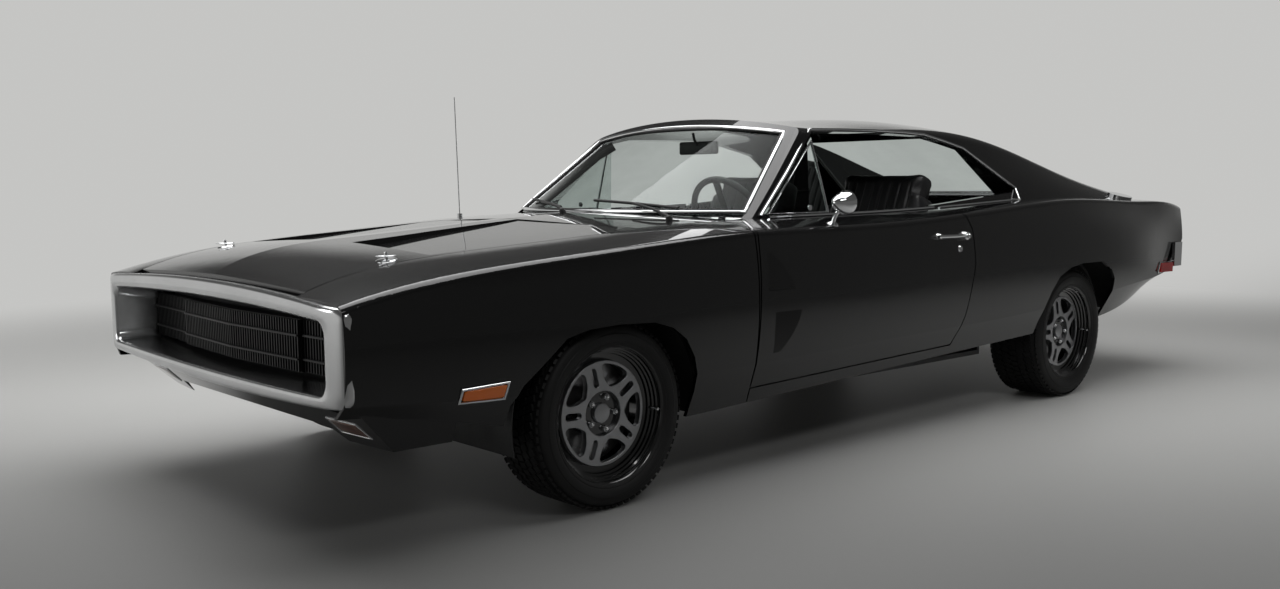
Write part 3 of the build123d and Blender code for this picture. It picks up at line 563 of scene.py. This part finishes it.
lens_y, lens_z = 0.690, 0.356
for side, sign in sides.items():
    bm = lens_block((0.026, 0.146, 0.043), 0.007)
    for vert in bm.verts:
        y, z = sign * lens_y + vert.co.y, lens_z + vert.co.z
        bulge = 0.006 * (1 - (vert.co.y / 0.074) ** 2)
        vert.co = (valance_x(y, z) + vert.co.x - 0.009 + bulge, y, z)
    lens = piece(bm, f"turn_lens_{side}", "body", smoked_amber)
    frame_line = []
    for y, z in ((-0.076, -0.024), (0.076, -0.024), (0.076, 0.024), (-0.076, 0.024)):
        at = (sign * lens_y + y, lens_z + z)
        frame_line.append(Vector((valance_x(*at) + 0.001, *at)))
    strip(f"turn_bezel_{side}", frame_line, 0.006, "body", satin_chrome, closed=True)
    if sign > 0:
        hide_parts("front_lamps")


def side_marker(name, corners, node_name, sign, body, material):
    """A lens that follows the body side, from its four corners as (x, z)."""
    bm = lens_block((2.0, 2.0, 2.0), 0.16)
    a, b, c, d = (Vector(corner) for corner in corners)
    for vert in bm.verts:
        u, v = (vert.co.x + 1) / 2, (vert.co.z + 1) / 2
        at = a.lerp(b, u).lerp(d.lerp(c, u), v)
        depth = 0.004 + 0.005 * vert.co.y + 0.002 * (1 - vert.co.x ** 2)
        out = sign * (depth if vert.co.y > 0 else -0.001)
        vert.co = on_side(node_name, at.x, at.y, sign) + Vector((0, out, 0))
    return piece(bm, name, body, material)


front_marker = ((2.124, 0.4285), (2.262, 0.4325), (2.257, 0.4605), (2.115, 0.4655))
for side, sign in sides.items():
    side_marker(f"front_marker_{side}", front_marker, f"fender_{side}", sign, "body", amber)

# %% [markdown]
# ## Mouldings round the glass
# A bright strip frames the windscreen, and another runs up the pillar, along the drip rail and
# down to the rear corner of the side opening, where it turns back along the belt line. A rubber
# seal inside the bright frame covers the edge of the glass, and a dark trim lies along the inside
# of each screen pillar.

# %% Windscreen surround
screen_half_low, screen_half_high = 0.694, 0.569
screen_low, screen_high, screen_crown = 0.934, 1.245, 1.286
outline = []
for i in range(9):
    t = i / 8
    outline.append((screen_half_low + (screen_half_high - screen_half_low) * t,
                    screen_low + (screen_high - screen_low) * t))
for i in range(1, 17):
    y = screen_half_high * (1 - i / 8)
    rise = (screen_crown - screen_high) * (1 - (y / screen_half_high) ** 2)
    outline.append((y, screen_high + rise))
outline += [(-y, z) for y, z in outline[7::-1]]
outline += [(y, screen_low) for y in (-0.52, -0.35, -0.17, 0, 0.17, 0.35, 0.52)]
surround = [on_screen(y, z) + Vector((0.006, 0, 0.004)) for y, z in outline]
strip("windscreen_surround", surround, 0.017, "body", closed=True)
screen_middle = sum(surround, Vector()) / len(surround)
seal_inset = 0.014
seal = [at + (screen_middle - at).normalized() * seal_inset - Vector((0.003, 0, 0.002))
        for at in surround]
strip("windscreen_seal", seal, 0.016, "body", rubber, closed=True)

# %% Pillar trims
pillar_line = ((0.800, 0.955), (0.700, 1.035), (0.600, 1.115), (0.500, 1.196), (0.440, 1.243))
for side, sign in sides.items():
    inside = [on_skin("body_shell", (x, 0, z), (0, sign, 0))[0] - Vector((0.012, sign * 0.010, 0.016))
              for x, z in pillar_line]
    strip(f"pillar_trim_{side}", inside, 0.044, "body", trim_plastic)

# %% Side window mouldings
opening = [(0.806, 0.925), (0.600, 1.090), (0.386, 1.262), (0.17, 1.268), (-0.04, 1.270),
           (-0.22, 1.268), (-0.372, 1.262), (-0.52, 1.236), (-0.664, 1.207), (-0.84, 1.117),
           (-1.016, 1.022)]
rear_corner = {}
for side, sign in sides.items():
    rail = []
    for x, z in opening:
        rail.append(on_side("body_shell", x, z, sign) + Vector((0, sign * 0.003, 0)))
    rear_corner[side] = rail[-1]
    strip(f"drip_rail_{side}", rail, 0.013, "body")
print("mouldings done")

# %% [markdown]
# ## Tyres
# The CAD tyre is a plain ring. Here the same section carries a carcass with a rounded
# shoulder, and each tread block is a small box repeated round the tyre.

# %% Tyres
block_rows = (-0.285, -0.143, 0.0, 0.143, 0.285)
blocks_round = 68
tread_depth = 0.007
bead_radius = 0.217


def tread_block(bm, turn, radius, across, size, slant, tilt):
    """One block, turned to its place round the tyre."""
    made = bmesh.ops.create_cube(bm, size=1.0)
    place = (Matrix.Rotation(turn, 4, "Y") @ Matrix.Translation((radius, across, 0))
             @ Matrix.Rotation(tilt, 4, "Z") @ Matrix.Rotation(slant, 4, "X")
             @ Matrix.Diagonal((*size, 1)))
    bmesh.ops.transform(bm, matrix=place, verts=made["verts"])


def tyre_box(axle, side):
    """The lowest and highest corner of a CAD tyre, and its middle."""
    low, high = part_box(f"tyre_{axle}_{side}")
    return low, high, (low + high) / 2


def tyre(axle, side):
    """A carcass with its tread, in place of the CAD tyre."""
    low, high, middle = tyre_box(axle, side)
    radius = (high.z - low.z) / 2
    width = high.y - low.y
    half = width / 2
    base = radius - tread_depth
    outer = [(bead_radius, half - 0.020), (bead_radius + 0.006, half - 0.012),
             (bead_radius + 0.016, half - 0.007), (bead_radius + 0.019, half - 0.0075),
             (bead_radius + 0.024, half - 0.004), (radius - 0.052, half - 0.0005),
             (radius - 0.044, half - 0.0010), (radius - 0.041, half - 0.0035),
             (radius - 0.026, half - 0.0055), (radius - 0.017, half - 0.012), (base, half - 0.034)]
    section = [(r, -y) for r, y in outer] + [(base + 0.001, 0)] + outer[::-1]
    bm = bmesh.new()
    verts = [bm.verts.new((r, y, 0)) for r, y in section]
    edges = [bm.edges.new((a, b)) for a, b in zip(verts, verts[1:] + verts[:1])]
    bmesh.ops.spin(bm, geom=verts + edges, cent=(0, 0, 0), axis=(0, 1, 0), angle=math.tau,
                   steps=96, use_merge=True)
    pitch = math.tau / blocks_round
    for i in range(blocks_round):
        for row, share in enumerate(block_rows):
            slant = 0.45 * (share > 0) - 0.45 * (share < 0)
            tread_block(bm, (i + 0.5 * (row % 2)) * pitch, base + tread_depth / 2 - 0.003, share * width,
                        (tread_depth + 0.006, 0.120 * width, radius * pitch * 0.80), slant, 0)
        for edge in (1, -1):
            tread_block(bm, (i + 0.25) * pitch, radius - 0.0125, edge * (half - 0.0235),
                        (0.008, 0.021, radius * pitch * 0.62), 0, -edge * 0.62)
    bmesh.ops.transform(bm, matrix=Matrix.Translation(middle), verts=bm.verts)
    made = piece(bm, f"tyre_dressed_{axle}_{side}", f"wheel_{axle}_{side}", rubber)
    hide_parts(f"tyre_{axle}_{side}")


for axle in ("front", "rear"):
    for side in sides:
        tyre(axle, side)

# %% [markdown]
# ## Wheels
# Each wheel is a satin gunmetal face deep inside a gloss black barrel. The face is a flat curve
# with its windows and slots cut out, because a filled curve gives an even bevel round every
# edge at once. The barrel, the nut pocket and the cap are turned.

# %% Wheel face
ring_outer, ring_inner = 0.1725, 0.1615
pocket_edge = 0.0735
spoke_turn = math.radians(74)
edge_bevel = 0.0018
window_half = ((0.091, 36.0), (0.099, 27.5), (0.114, 19.0), (0.135, 15.0), (0.152, 14.2),
               (0.1600, 16.5), (ring_inner, 20.5), (ring_inner, 28.0))
slot_points = ((0.090, 0.0), (0.093, 0.0072), (0.100, 0.0102), (0.120, 0.0108), (0.146, 0.0112),
               (0.1525, 0.0080), (0.155, 0.0))


def closed_spline(curve, points):
    """A smooth closed outline through flat points."""
    line = curve.splines.new("BEZIER")
    line.bezier_points.add(len(points) - 1)
    for knot, (x, y) in zip(line.bezier_points, points):
        knot.co = (x, y, 0)
        knot.handle_left_type = knot.handle_right_type = "AUTO"
    line.use_cyclic_u = True
    line.resolution_u = 4


def wheel_face_mesh():
    """The face as a flat bevelled plate in the XY plane, with the axle at the origin."""
    curve = bpy.data.curves.new("wheel_face", "CURVE")
    curve.dimensions = "2D"
    curve.fill_mode = "BOTH"
    curve.extrude = 0.0095
    curve.bevel_depth = edge_bevel
    curve.bevel_resolution = 2
    curve.offset = -edge_bevel
    for radius in (ring_outer, pocket_edge):
        closed_spline(curve, [(radius * math.cos(math.tau * i / 24), radius * math.sin(math.tau * i / 24))
                              for i in range(24)])
    half = [(radius, math.radians(turn)) for radius, turn in window_half]
    window = half + [(radius, math.radians(72) - turn) for radius, turn in half[:0:-1]]
    slot = list(slot_points) + [(along, -across) for along, across in slot_points[-2:0:-1]]
    for i in range(5):
        turned_by = spoke_turn + math.radians(72 * i)
        closed_spline(curve, [(radius * math.cos(turned_by + turn), radius * math.sin(turned_by + turn))
                              for radius, turn in window])
        closed_spline(curve, [(along * math.cos(turned_by) - across * math.sin(turned_by),
                               along * math.sin(turned_by) + across * math.cos(turned_by))
                              for along, across in slot])
    return mesh_of(curve)


face_mesh = wheel_face_mesh()
print("wheel face faces:", len(face_mesh.polygons))

# %% Barrels, faces, nuts and caps
face_behind, pocket_behind = 0.058, 0.075
half_face = 0.0113
nut_circle, nut_radius = 0.0550, 0.0112
valve_circle, valve_behind = 0.205, 0.052


def wheel(axle, side, sign):
    """The barrel, face, nut pocket, cap, nuts and valve of one wheel."""
    low, high, middle = tyre_box(axle, side)
    body = f"wheel_{axle}_{side}"
    outer_wall = Vector((middle.x, high.y if sign > 0 else low.y, middle.z))
    outward = Vector((0, sign, 0))
    back = low.y - high.y
    barrel = [(0.2280, -0.0165), (0.2280, -0.0120), (0.2245, -0.0112), (0.2200, -0.0140),
              (0.2165, -0.0220), (0.2158, -0.0330), (0.2108, -0.0365), (0.2098, -0.0450),
              (0.2045, -0.0485), (0.2035, -0.0570), (0.1970, -0.0605), (0.1955, -0.0690),
              (0.1880, -0.0725), (0.1700, -0.0740), (0.1690, -0.0850), (0.1850, -0.0960),
              (0.2065, -0.1000), (0.2085, back + 0.016), (0.2280, back + 0.0125),
              (0.2280, back + 0.0165), (0.2165, back + 0.020), (0.2165, -0.0195), (0.2280, -0.0165)]
    made = turned(f"wheel_barrel_{axle}_{side}", barrel, outer_wall, outward, body, barrel_black,
                  segments=96, angle=38)
    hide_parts(f"rim_{axle}_{side}")
    mesh = face_mesh.copy()
    upright = Matrix(((1, 0, 0, 0), (0, 0, -1, 0), (0, 1, 0, 0), (0, 0, 0, 1)))
    place = Matrix.Translation(outer_wall - outward * (face_behind + half_face))
    if sign < 0:
        place = place @ Matrix.Rotation(math.pi, 4, "Z")
    mesh.transform(place @ upright)
    piece_from(mesh, f"wheel_face_{axle}_{side}", body, gunmetal, angle=30)
    turned(f"wheel_pocket_{axle}_{side}", [(0.0, 0.0), (0.0770, 0.0), (0.0770, -0.010), (0.0300, -0.040),
                                           (0.0, -0.040)],
           outer_wall - outward * pocket_behind, outward, body, barrel_black, segments=48)
    turned(f"wheel_cap_{axle}_{side}", [(0.0, 0.0125), (0.028, 0.0125), (0.0315, 0.0112),
                                        (0.0330, 0.0085), (0.0335, 0.0), (0.0, 0.0)],
           outer_wall - outward * pocket_behind, outward, body, gunmetal, segments=40)
    bm = bmesh.new()
    for i in range(5):
        turn = spoke_turn + math.radians(36 + 72 * i)
        hexagon = bmesh.ops.create_cone(bm, cap_ends=True, segments=6, radius1=nut_radius,
                                        radius2=nut_radius, depth=0.014)
        dome = bmesh.ops.create_cone(bm, cap_ends=True, segments=18, radius1=nut_radius * 0.82,
                                     radius2=nut_radius * 0.42, depth=0.007)
        bmesh.ops.translate(bm, vec=(0, 0, 0.0105), verts=dome["verts"])
        spot = outer_wall - outward * (pocket_behind - 0.007)
        spot += Vector((sign * nut_circle * math.cos(turn), 0, nut_circle * math.sin(turn)))
        place = Matrix.Translation(spot) @ Matrix.Rotation(-sign * math.pi / 2, 4, "X")
        bmesh.ops.transform(bm, matrix=place, verts=hexagon["verts"] + dome["verts"])
    bmesh.ops.bevel(bm, geom=[e for e in bm.edges if e.calc_face_angle(0) > 0.9], offset=0.0012,
                    offset_type="OFFSET", segments=2, profile=0.5, affect="EDGES", material=-1)
    piece(bm, f"wheel_nuts_{axle}_{side}", body, chrome)
    turn = spoke_turn + math.radians(108)
    valve = outer_wall + Vector((sign * valve_circle * math.cos(turn), -sign * valve_behind,
                                 valve_circle * math.sin(turn)))
    turned(f"wheel_valve_{axle}_{side}", [(0.0, 0.034), (0.0045, 0.033), (0.005, 0.020), (0.0035, 0.018),
                                          (0.006, 0.004), (0.007, -0.004), (0.0, -0.004)],
           valve, outward, body, segments=16)


for axle in ("front", "rear"):
    for side, sign in sides.items():
        wheel(axle, side, sign)

# %% [markdown]
# ## Wheel housings
# A dark liner closes each wheel arch, so no light shows between the tyre and the body. It is a
# turned band with an inner wall, open at the bottom and for the axle, and it clears the tyre at
# full lock. Its outer edge is held under the skin of the fender or quarter.

# %% Arch liners
Liner = namedtuple("Liner", "reach hole wall_y outer_y start end")
liners = {"front": Liner(0.385, 0.170, 0.495, 0.872, -12, 187),
          "rear": Liner(0.480, 0.120, 0.606, 0.925, 10, 170)}
liner_thickness, skin_depth = 0.003, 0.024
for axle, liner in liners.items():
    for side, sign in sides.items():
        _, _, middle = tyre_box(axle, side)
        inner, outer = liner.reach, liner.reach + liner_thickness
        wall, back = liner.wall_y, liner.wall_y - liner_thickness
        bm = bmesh.new()
        verts = [bm.verts.new((radius, sign * y, 0)) for radius, y in
                 ((liner.hole, wall), (inner, wall), (inner, liner.outer_y), (outer, liner.outer_y),
                  (outer, back), (liner.hole, back))]
        edges = [bm.edges.new(pair) for pair in zip(verts, verts[1:] + verts[:1])]
        bmesh.ops.spin(bm, geom=verts + edges, cent=(0, 0, 0), axis=(0, 1, 0),
                       angle=math.radians(liner.start - liner.end), steps=60)
        bmesh.ops.holes_fill(bm, edges=bm.edges[:], sides=6)
        bmesh.ops.transform(bm, matrix=Matrix.Translation((middle.x, 0, middle.z))
                            @ Matrix.Rotation(math.radians(-liner.start), 4, "Y"),
                            verts=bm.verts)
        panel = nodes[f"fender_{side}" if axle == "front" else "body_shell"]
        for vert in bm.verts:
            hit, at, _, _ = panel.ray_cast(Vector((vert.co.x, sign * outside_y, vert.co.z)),
                                           Vector((0, -sign, 0)))
            if hit and abs(vert.co.y) > abs(at.y) - skin_depth:
                vert.co.y = sign * (abs(at.y) - skin_depth)
        piece(bm, f"arch_liner_{axle}_{side}", "body", chassis_black, angle=50)
print("wheels done")

# %% [markdown]
# ## Belt moulding
# Along the foot of the side windows a thin bright strip runs from the vent window to the rear
# corner of the opening. It is cut at the door's shut line, so each part rides on its own body.

# %% Belt moulding and vent window frames
belt_y = 0.768
for side, sign in sides.items():
    door = f"door_{side}"
    along_door = []
    for i in range(13):
        x = 0.800 - i * (1.075 / 12)
        along_door.append(on_top(door, x, sign * belt_y) + Vector((0, 0, 0.005)))
    strip(f"belt_moulding_door_{side}", along_door, 0.013, door)
    along_quarter = []
    for x in (-0.310, -0.44, -0.58, -0.72, -0.848, -0.93, -0.985):
        along_quarter.append(on_top("body_shell", x, sign * (belt_y + 0.006)) + Vector((0, 0, 0.004)))
    strip(f"belt_moulding_quarter_{side}", along_quarter + [rear_corner[side]], 0.012, "body")
    pane = [(0.745, 0.931), (0.3925, 1.212), (0.3965, 0.931)]
    frame_line = []
    for x, z in pane:
        frame_line.append(on_side(f"vent_window_{side}", x, z, sign) - Vector((0, sign * 0.003, 0)))
    strip(f"vent_frame_{side}", frame_line, 0.016, door, closed=True)
    latch = frame_line[2].lerp(frame_line[0], 0.30)
    turned(f"vent_latch_{side}", [(0.0, -0.012), (0.011, -0.012), (0.011, -0.006), (0.006, 0.0),
                                  (0.0, 0.0)], latch + Vector((0, -sign * 0.012, 0.02)),
           (0, -sign, 0), door)

# %% [markdown]
# ## Mirrors and handles
# The mirror head is a turned bullet: a round glass faces back and a chrome cone points ahead.
# The handle is a slim curved bar held at both ends, with a push button and a lock below it.

# %% Door mirrors
for side, sign in sides.items():
    door = f"door_{side}"
    head = Vector((0.528, sign * 0.912, 0.972))
    cone = [(0.0, 0.072), (0.010, 0.069), (0.026, 0.052), (0.039, 0.028), (0.0455, 0.006),
            (0.0465, -0.006), (0.0455, -0.012), (0.0425, -0.014), (0.0415, -0.010), (0.0, -0.010)]
    made = turned(f"mirror_head_{side}", cone, head, (1, 0, 0), door, segments=48)
    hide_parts(f"mirror_{side}")
    turned(f"mirror_pane_{side}", [(0.0, -0.0112), (0.0412, -0.0112), (0.0412, -0.0102),
                                   (0.0, -0.0102)], head, (1, 0, 0), door, segments=48)
    foot = on_top(door, 0.560, sign * 0.876)
    strip(f"mirror_stalk_{side}", [foot - Vector((0, 0, 0.004)),
                                   foot + Vector((-0.004, sign * 0.004, 0.024)),
                                   foot + Vector((-0.014, sign * 0.020, 0.052)),
                                   head + Vector((0.006, 0, -0.040))],
          0.017, door, smooth=True)
    turned(f"mirror_foot_{side}", [(0.0, 0.010), (0.012, 0.009), (0.021, 0.003), (0.024, -0.004),
                                   (0.0, -0.004)], foot, (0.1, sign * 0.3, 1), door)

# %% Door handles
for side, sign in sides.items():
    door = f"door_{side}"
    grip = []
    for i in range(7):
        t = i / 6
        x = -0.062 - 0.228 * t
        lift = 0.030 * math.sin(math.pi * min(1.0, 0.12 + 0.88 * t)) ** 0.6
        grip.append(on_side(door, x, 0.826, sign) + Vector((0, sign * lift, 0)))
    strip(f"door_handle_{side}", grip, 0.015, door, smooth=True)
    rear = on_side(door, -0.262, 0.824, sign)
    turned(f"handle_button_{side}", [(0.0, 0.034), (0.008, 0.034), (0.010, 0.031), (0.010, 0.022),
                                     (0.017, 0.020), (0.020, 0.0), (0.0, 0.0)], rear, (0, sign, 0),
           door)
    front = on_side(door, -0.078, 0.826, sign)
    turned(f"handle_foot_{side}", [(0.0, 0.020), (0.010, 0.018), (0.014, 0.0), (0.0, 0.0)], front,
           (0, sign, 0), door)
    lock = on_side(door, -0.232, 0.770, sign)
    turned(f"door_lock_{side}", [(0.0, 0.004), (0.004, 0.004), (0.0045, 0.006), (0.012, 0.0055),
                                 (0.0145, 0.0), (0.0, 0.0)], lock, (0, sign, 0), door)
print("mirrors and handles done")

# %% [markdown]
# ## Small bright parts
# Two pins hold the hood, each through a scuff plate with a wire clip. Bezels frame the marker
# lamps and the tail lamps.

# %% Hood pins
for side, sign in sides.items():
    at, normal = on_skin("hood", (2.302, sign * 0.585, above_z), (0, 0, -1))
    turned(f"hood_pin_plate_{side}", [(0.0, 0.0035), (0.010, 0.0035), (0.030, 0.0025),
                                      (0.0325, 0.0), (0.0, 0.0)], at, normal, "hood", segments=40)
    turned(f"hood_pin_{side}", [(0.0, 0.026), (0.004, 0.025), (0.0055, 0.021), (0.0055, 0.003),
                                (0.0, 0.003)], at, normal, "hood")
    wire = [at + normal * 0.012 + Vector((0.034 * math.cos(a), 0.012 * math.sin(a), 0))
            for a in (math.tau * i / 14 for i in range(13))]
    strip(f"hood_pin_clip_{side}", wire, 0.0032, "hood", smooth=True)

# %% Lamp bezels
def bezel(name, corners, node_name, direction, width, lift=0.002):
    """A bright frame round a flat lamp, laid on the skin round it."""
    line = []
    for start in corners:
        at, _ = on_skin(node_name, start, direction)
        line.append(at - Vector(direction) * lift)
    strip(name, line, width, "body", closed=True)


front_bezel = ((2.118, 0.4225), (2.269, 0.4270), (2.263, 0.4655), (2.107, 0.4715))
rear_bezel = ((-2.263, 0.558), (-2.419, 0.556), (-2.4215, 0.6155), (-2.265, 0.6175))
tail_bezel = ((0.038, 0.762), (0.772, 0.762), (0.772, 0.854), (0.038, 0.854))
behind_x = -3.0
for side, sign in sides.items():
    inward = (0, -sign, 0)
    bezel(f"front_marker_bezel_{side}", [(x, sign * outside_y, z) for x, z in front_bezel],
          f"fender_{side}", inward, 0.0125, lift=0.003)
    bezel(f"rear_marker_bezel_{side}", [(x, sign * outside_y, z) for x, z in rear_bezel],
          "body_shell", inward, 0.008)
    bezel(f"tail_lamp_bezel_{side}", [(behind_x, sign * y, z) for y, z in tail_bezel],
          "tail_panel", (1, 0, 0), 0.012, lift=0.006)

# %% Wipers
def wiper(name, pivot, middle, heel, toe):
    """An arm on its spindle, and a thin blade that lies along the glass."""
    turned(f"{name}_spindle", [(0.0, 0.020), (0.008, 0.019), (0.012, 0.012), (0.014, -0.006),
                               (0.0, -0.006)], pivot, (0.4, 0, 1), "body", soft_rubber)
    arm = [pivot + Vector((0, 0, 0.012)), pivot.lerp(middle, 0.35) + Vector((0.004, 0, 0.022)), middle]
    strip(f"{name}_arm", arm, 0.011, "body", soft_rubber, smooth=True)
    blade = [heel, heel.lerp(toe, 0.5) + Vector((0.004, 0, 0.004)), toe]
    return strip(f"{name}_blade", blade, 0.012, "body", soft_rubber, smooth=True)


# The near blade lies along the foot of the glass from the driver's corner, the far one from
# the middle, both pointing to the car's right.
arm_reach = 0.34
clear = Vector((0.012, 0, 0.010))
for name, pivot_y in (("wiper_near", 0.600), ("wiper_far", -0.020)):
    base = on_top("body_shell", 1.150, pivot_y)
    far = on_screen(pivot_y - arm_reach, 0.955)
    heel = on_screen(pivot_y - arm_reach + 0.20, 0.944)
    toe = on_screen(pivot_y - arm_reach - 0.24, 0.972)
    blade = wiper(name, base, far + clear * 1.6, heel + clear, toe + clear)
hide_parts("wipers")
print("wipers done")

# %% [markdown]
# ## Seats
# Each front bucket is a cushion and a back in black vinyl with sewn vertical channels. A crowned
# form comes first, the Cloth modifier puffs it up a little as foam does under its cover, and the
# channels are pressed in afterwards, because remeshing would wipe them out.

# %% Padded forms
seam_depth, seam_half = 0.008, 0.009


def crowned_block(size, crown, rounding, cuts=7):
    """A box with a bulging top, a hollow foot and rounded edges, centred on the origin."""
    bm = rounded_box(size, rounding)
    bmesh.ops.subdivide_edges(bm, edges=[e for e in bm.edges if e.calc_length() > rounding * 1.5],
                              cuts=cuts, use_grid_fill=True)
    for vert in bm.verts:
        u, v, w = (2 * c / s for c, s in zip(vert.co, size))
        swell = crown * (1 - u * u) * (1 - v * v)
        vert.co.z += swell * (1 if w > 0 else -0.15)
    return bm


def puff(made, pressure=4.0, cap=0.010, voxel=0.012):
    """Lets the form swell as a filled cover does, never further than a cap."""
    remesh = made.modifiers.new("remesh", "REMESH")
    remesh.mode = "VOXEL"
    remesh.voxel_size = voxel
    apply_modifiers(made)
    before = [v.co.copy() for v in made.data.vertices]
    cloth = made.modifiers.new("cloth", "CLOTH")
    cloth.settings.use_pressure = True
    cloth.settings.uniform_pressure_force = pressure
    cloth.settings.effector_weights.gravity = 0
    cloth.settings.tension_stiffness = 30
    cloth.settings.compression_stiffness = 30
    for step in range(1, 13):
        scene.frame_set(step)
    apply_modifiers(made)
    for vert, old in zip(made.data.vertices, before):
        move = vert.co - old
        if move.length > cap:
            vert.co = old + move.normalized() * cap
    scene.frame_set(1)


def apply_modifiers(made):
    """Replaces the mesh with what its modifiers make of it."""
    view = bpy.context.evaluated_depsgraph_get()
    mesh = bpy.data.meshes.new_from_object(made.evaluated_get(view))
    old = made.data
    made.modifiers.clear()
    made.data = mesh
    bpy.data.meshes.remove(old)


def cushion(name, size, crown, place, channels=0, voxel=0.012, rounding=0.035):
    """A vinyl cushion with sewn channels from front to back, placed by a matrix."""
    bm = crowned_block(size, crown, rounding)
    mesh = bpy.data.meshes.new(name)
    bmesh.ops.recalc_face_normals(bm, faces=bm.faces)
    bm.to_mesh(mesh)
    bm.free()
    made = show(name, mesh)
    puff(made, voxel=voxel)
    smooth = made.modifiers.new("smooth", "SUBSURF")
    smooth.levels = smooth.render_levels = 1
    apply_modifiers(made)
    if channels:
        half_wide, half_long = size[1] / 2 - 0.055, size[0] / 2 - 0.045
        for vert in made.data.vertices:
            if vert.co.z < 0 or abs(vert.co.y) > half_wide + 0.008 or abs(vert.co.x) > half_long:
                continue
            phase = (vert.co.y / half_wide + 1) / 2 * channels
            near = abs(phase - round(phase)) * 2 * half_wide / channels
            fade = min(1.0, (half_long - abs(vert.co.x)) / 0.03)
            vert.co.z -= seam_depth * fade * max(0.0, 1 - near / seam_half)
    made.data.transform(place)
    made.data.materials.clear()
    made.data.materials.append(vinyl)
    made.data.shade_smooth()
    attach(made, "body")
    return made


# %% Front bucket seats
def seat_matrix(middle, lean):
    """A cushion's middle, and its lean back in degrees."""
    return Matrix.Translation(middle) @ Matrix.Rotation(math.radians(lean), 4, "Y")


back_lean = 71
for side, sign in sides.items():
    seat_y = sign * 0.400
    base = cushion(f"seat_base_{side}", (0.48, 0.47, 0.150), 0.026,
                   seat_matrix(Vector((0.000, seat_y, 0.424)), -4), channels=7, voxel=0.009)
    cushion(f"seat_back_{side}", (0.605, 0.46, 0.110), 0.020,
            seat_matrix(Vector((-0.366, seat_y, 0.798)), back_lean), channels=7, voxel=0.009)
    for place, shift in (("outer", 0.212), ("inner", -0.212)):
        cushion(f"seat_wing_{place}_{side}", (0.48, 0.066, 0.140), 0.010,
                seat_matrix(Vector((-0.340, seat_y + sign * shift, 0.760)), back_lean),
                rounding=0.026)
    box_piece(f"seat_plinth_{side}", (-0.25, seat_y - 0.215, 0.2855), (0.21, seat_y + 0.215, 0.3505),
              0.012, trim_plastic, segments=3)
    if sign > 0:
        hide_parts("front_seats")

# %% Rear bench
for side, sign in sides.items():
    bench = cushion(f"bench_base_{side}", (0.33, 0.40, 0.130), 0.020,
                    seat_matrix(Vector((-0.835, sign * 0.345, 0.487)), -5), channels=5)
    cushion(f"bench_back_{side}", (0.36, 0.51, 0.100), 0.014,
            seat_matrix(Vector((-1.110, sign * 0.272, 0.712)), back_lean), channels=6)
    if sign > 0:
        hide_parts("rear_seat")
cushion("bench_roll", (0.085, 1.06, 0.070), 0.008, seat_matrix(Vector((-1.163, 0, 0.893)), -4),
        rounding=0.03)
cushion("bench_middle", (0.30, 0.26, 0.060), 0.008, seat_matrix(Vector((-0.850, 0, 0.533)), -4),
        rounding=0.02)
print("seats done")

# %% [markdown]
# ## Dashboard
# The CAD gives the dashboard's form. On it go a padded roll, a row of round dials with plain
# marks, and the controls that show through the glass.

# %% Dashboard
box_piece("dash_pad", (0.745, -0.685, 0.838), (1.035, 0.685, 0.874), 0.016, vinyl)
dial_face = finish("dial_face", (0.01, 0.01, 0.01), 0.3, 0.4)
dial_marks = finish("dial_marks", (0.7, 0.7, 0.66), 0.5, 0.6)
panel_x = 0.742
for number, (y, z, radius) in enumerate(((0.500, 0.800, 0.030), (0.430, 0.795, 0.046),
                                         (0.320, 0.795, 0.046), (0.245, 0.800, 0.030),
                                         (0.185, 0.800, 0.030))):
    turned(f"dial_{number}", [(0.0, 0.004), (radius * 0.92, 0.004), (radius * 0.93, 0.009),
                              (radius, 0.009), (radius * 1.02, 0.0), (0.0, 0.0)],
           (panel_x, y, z), (-1, 0, 0), "body", dial_face)
    bm = bmesh.new()
    for tick in range(11):
        turn = math.radians(-130 + 26 * tick)
        made = bmesh.ops.create_cube(bm, size=1.0)
        place = (Matrix.Translation((panel_x - 0.0048, y, z)) @ Matrix.Rotation(turn, 4, "X")
                 @ Matrix.Translation((0, 0, radius * 0.80))
                 @ Matrix.Diagonal((0.0008, 0.0016, radius * 0.16, 1)))
        bmesh.ops.transform(bm, matrix=place, verts=made["verts"])
    piece(bm, f"dial_marks_{number}", "body", dial_marks)
box_piece("radio", (0.728, -0.085, 0.768), (0.748, 0.085, 0.820), 0.003, satin_black)
box_piece("glovebox_lid", (0.731, -0.520, 0.768), (0.748, -0.180, 0.828), 0.004, trim_plastic)
turned("shift_knob", [(0.0, 0.045), (0.018, 0.038), (0.024, 0.018), (0.016, -0.004), (0.006, -0.010),
                      (0.006, -0.120), (0.0, -0.120)], (0.330, 0, 0.700), (0.12, 0, 1), "body",
       trim_plastic)
turned("shift_boot", [(0.0, 0.055), (0.010, 0.055), (0.022, 0.030), (0.045, 0.010), (0.062, 0.0),
                      (0.0, 0.0)], (0.322, 0, 0.560), (0.05, 0, 1), "body", vinyl)
print("dashboard done")

# %% Rear-view mirror
box_piece("inner_mirror", (0.385, -0.115, 1.176), (0.408, 0.115, 1.232), 0.009, trim_plastic)
strip("inner_mirror_stem", [Vector((0.404, 0, 1.215)), Vector((0.425, 0, 1.240)),
                            Vector((0.432, 0, 1.268))], 0.012, "body", trim_plastic)

# %% Finish
print("scene finished")
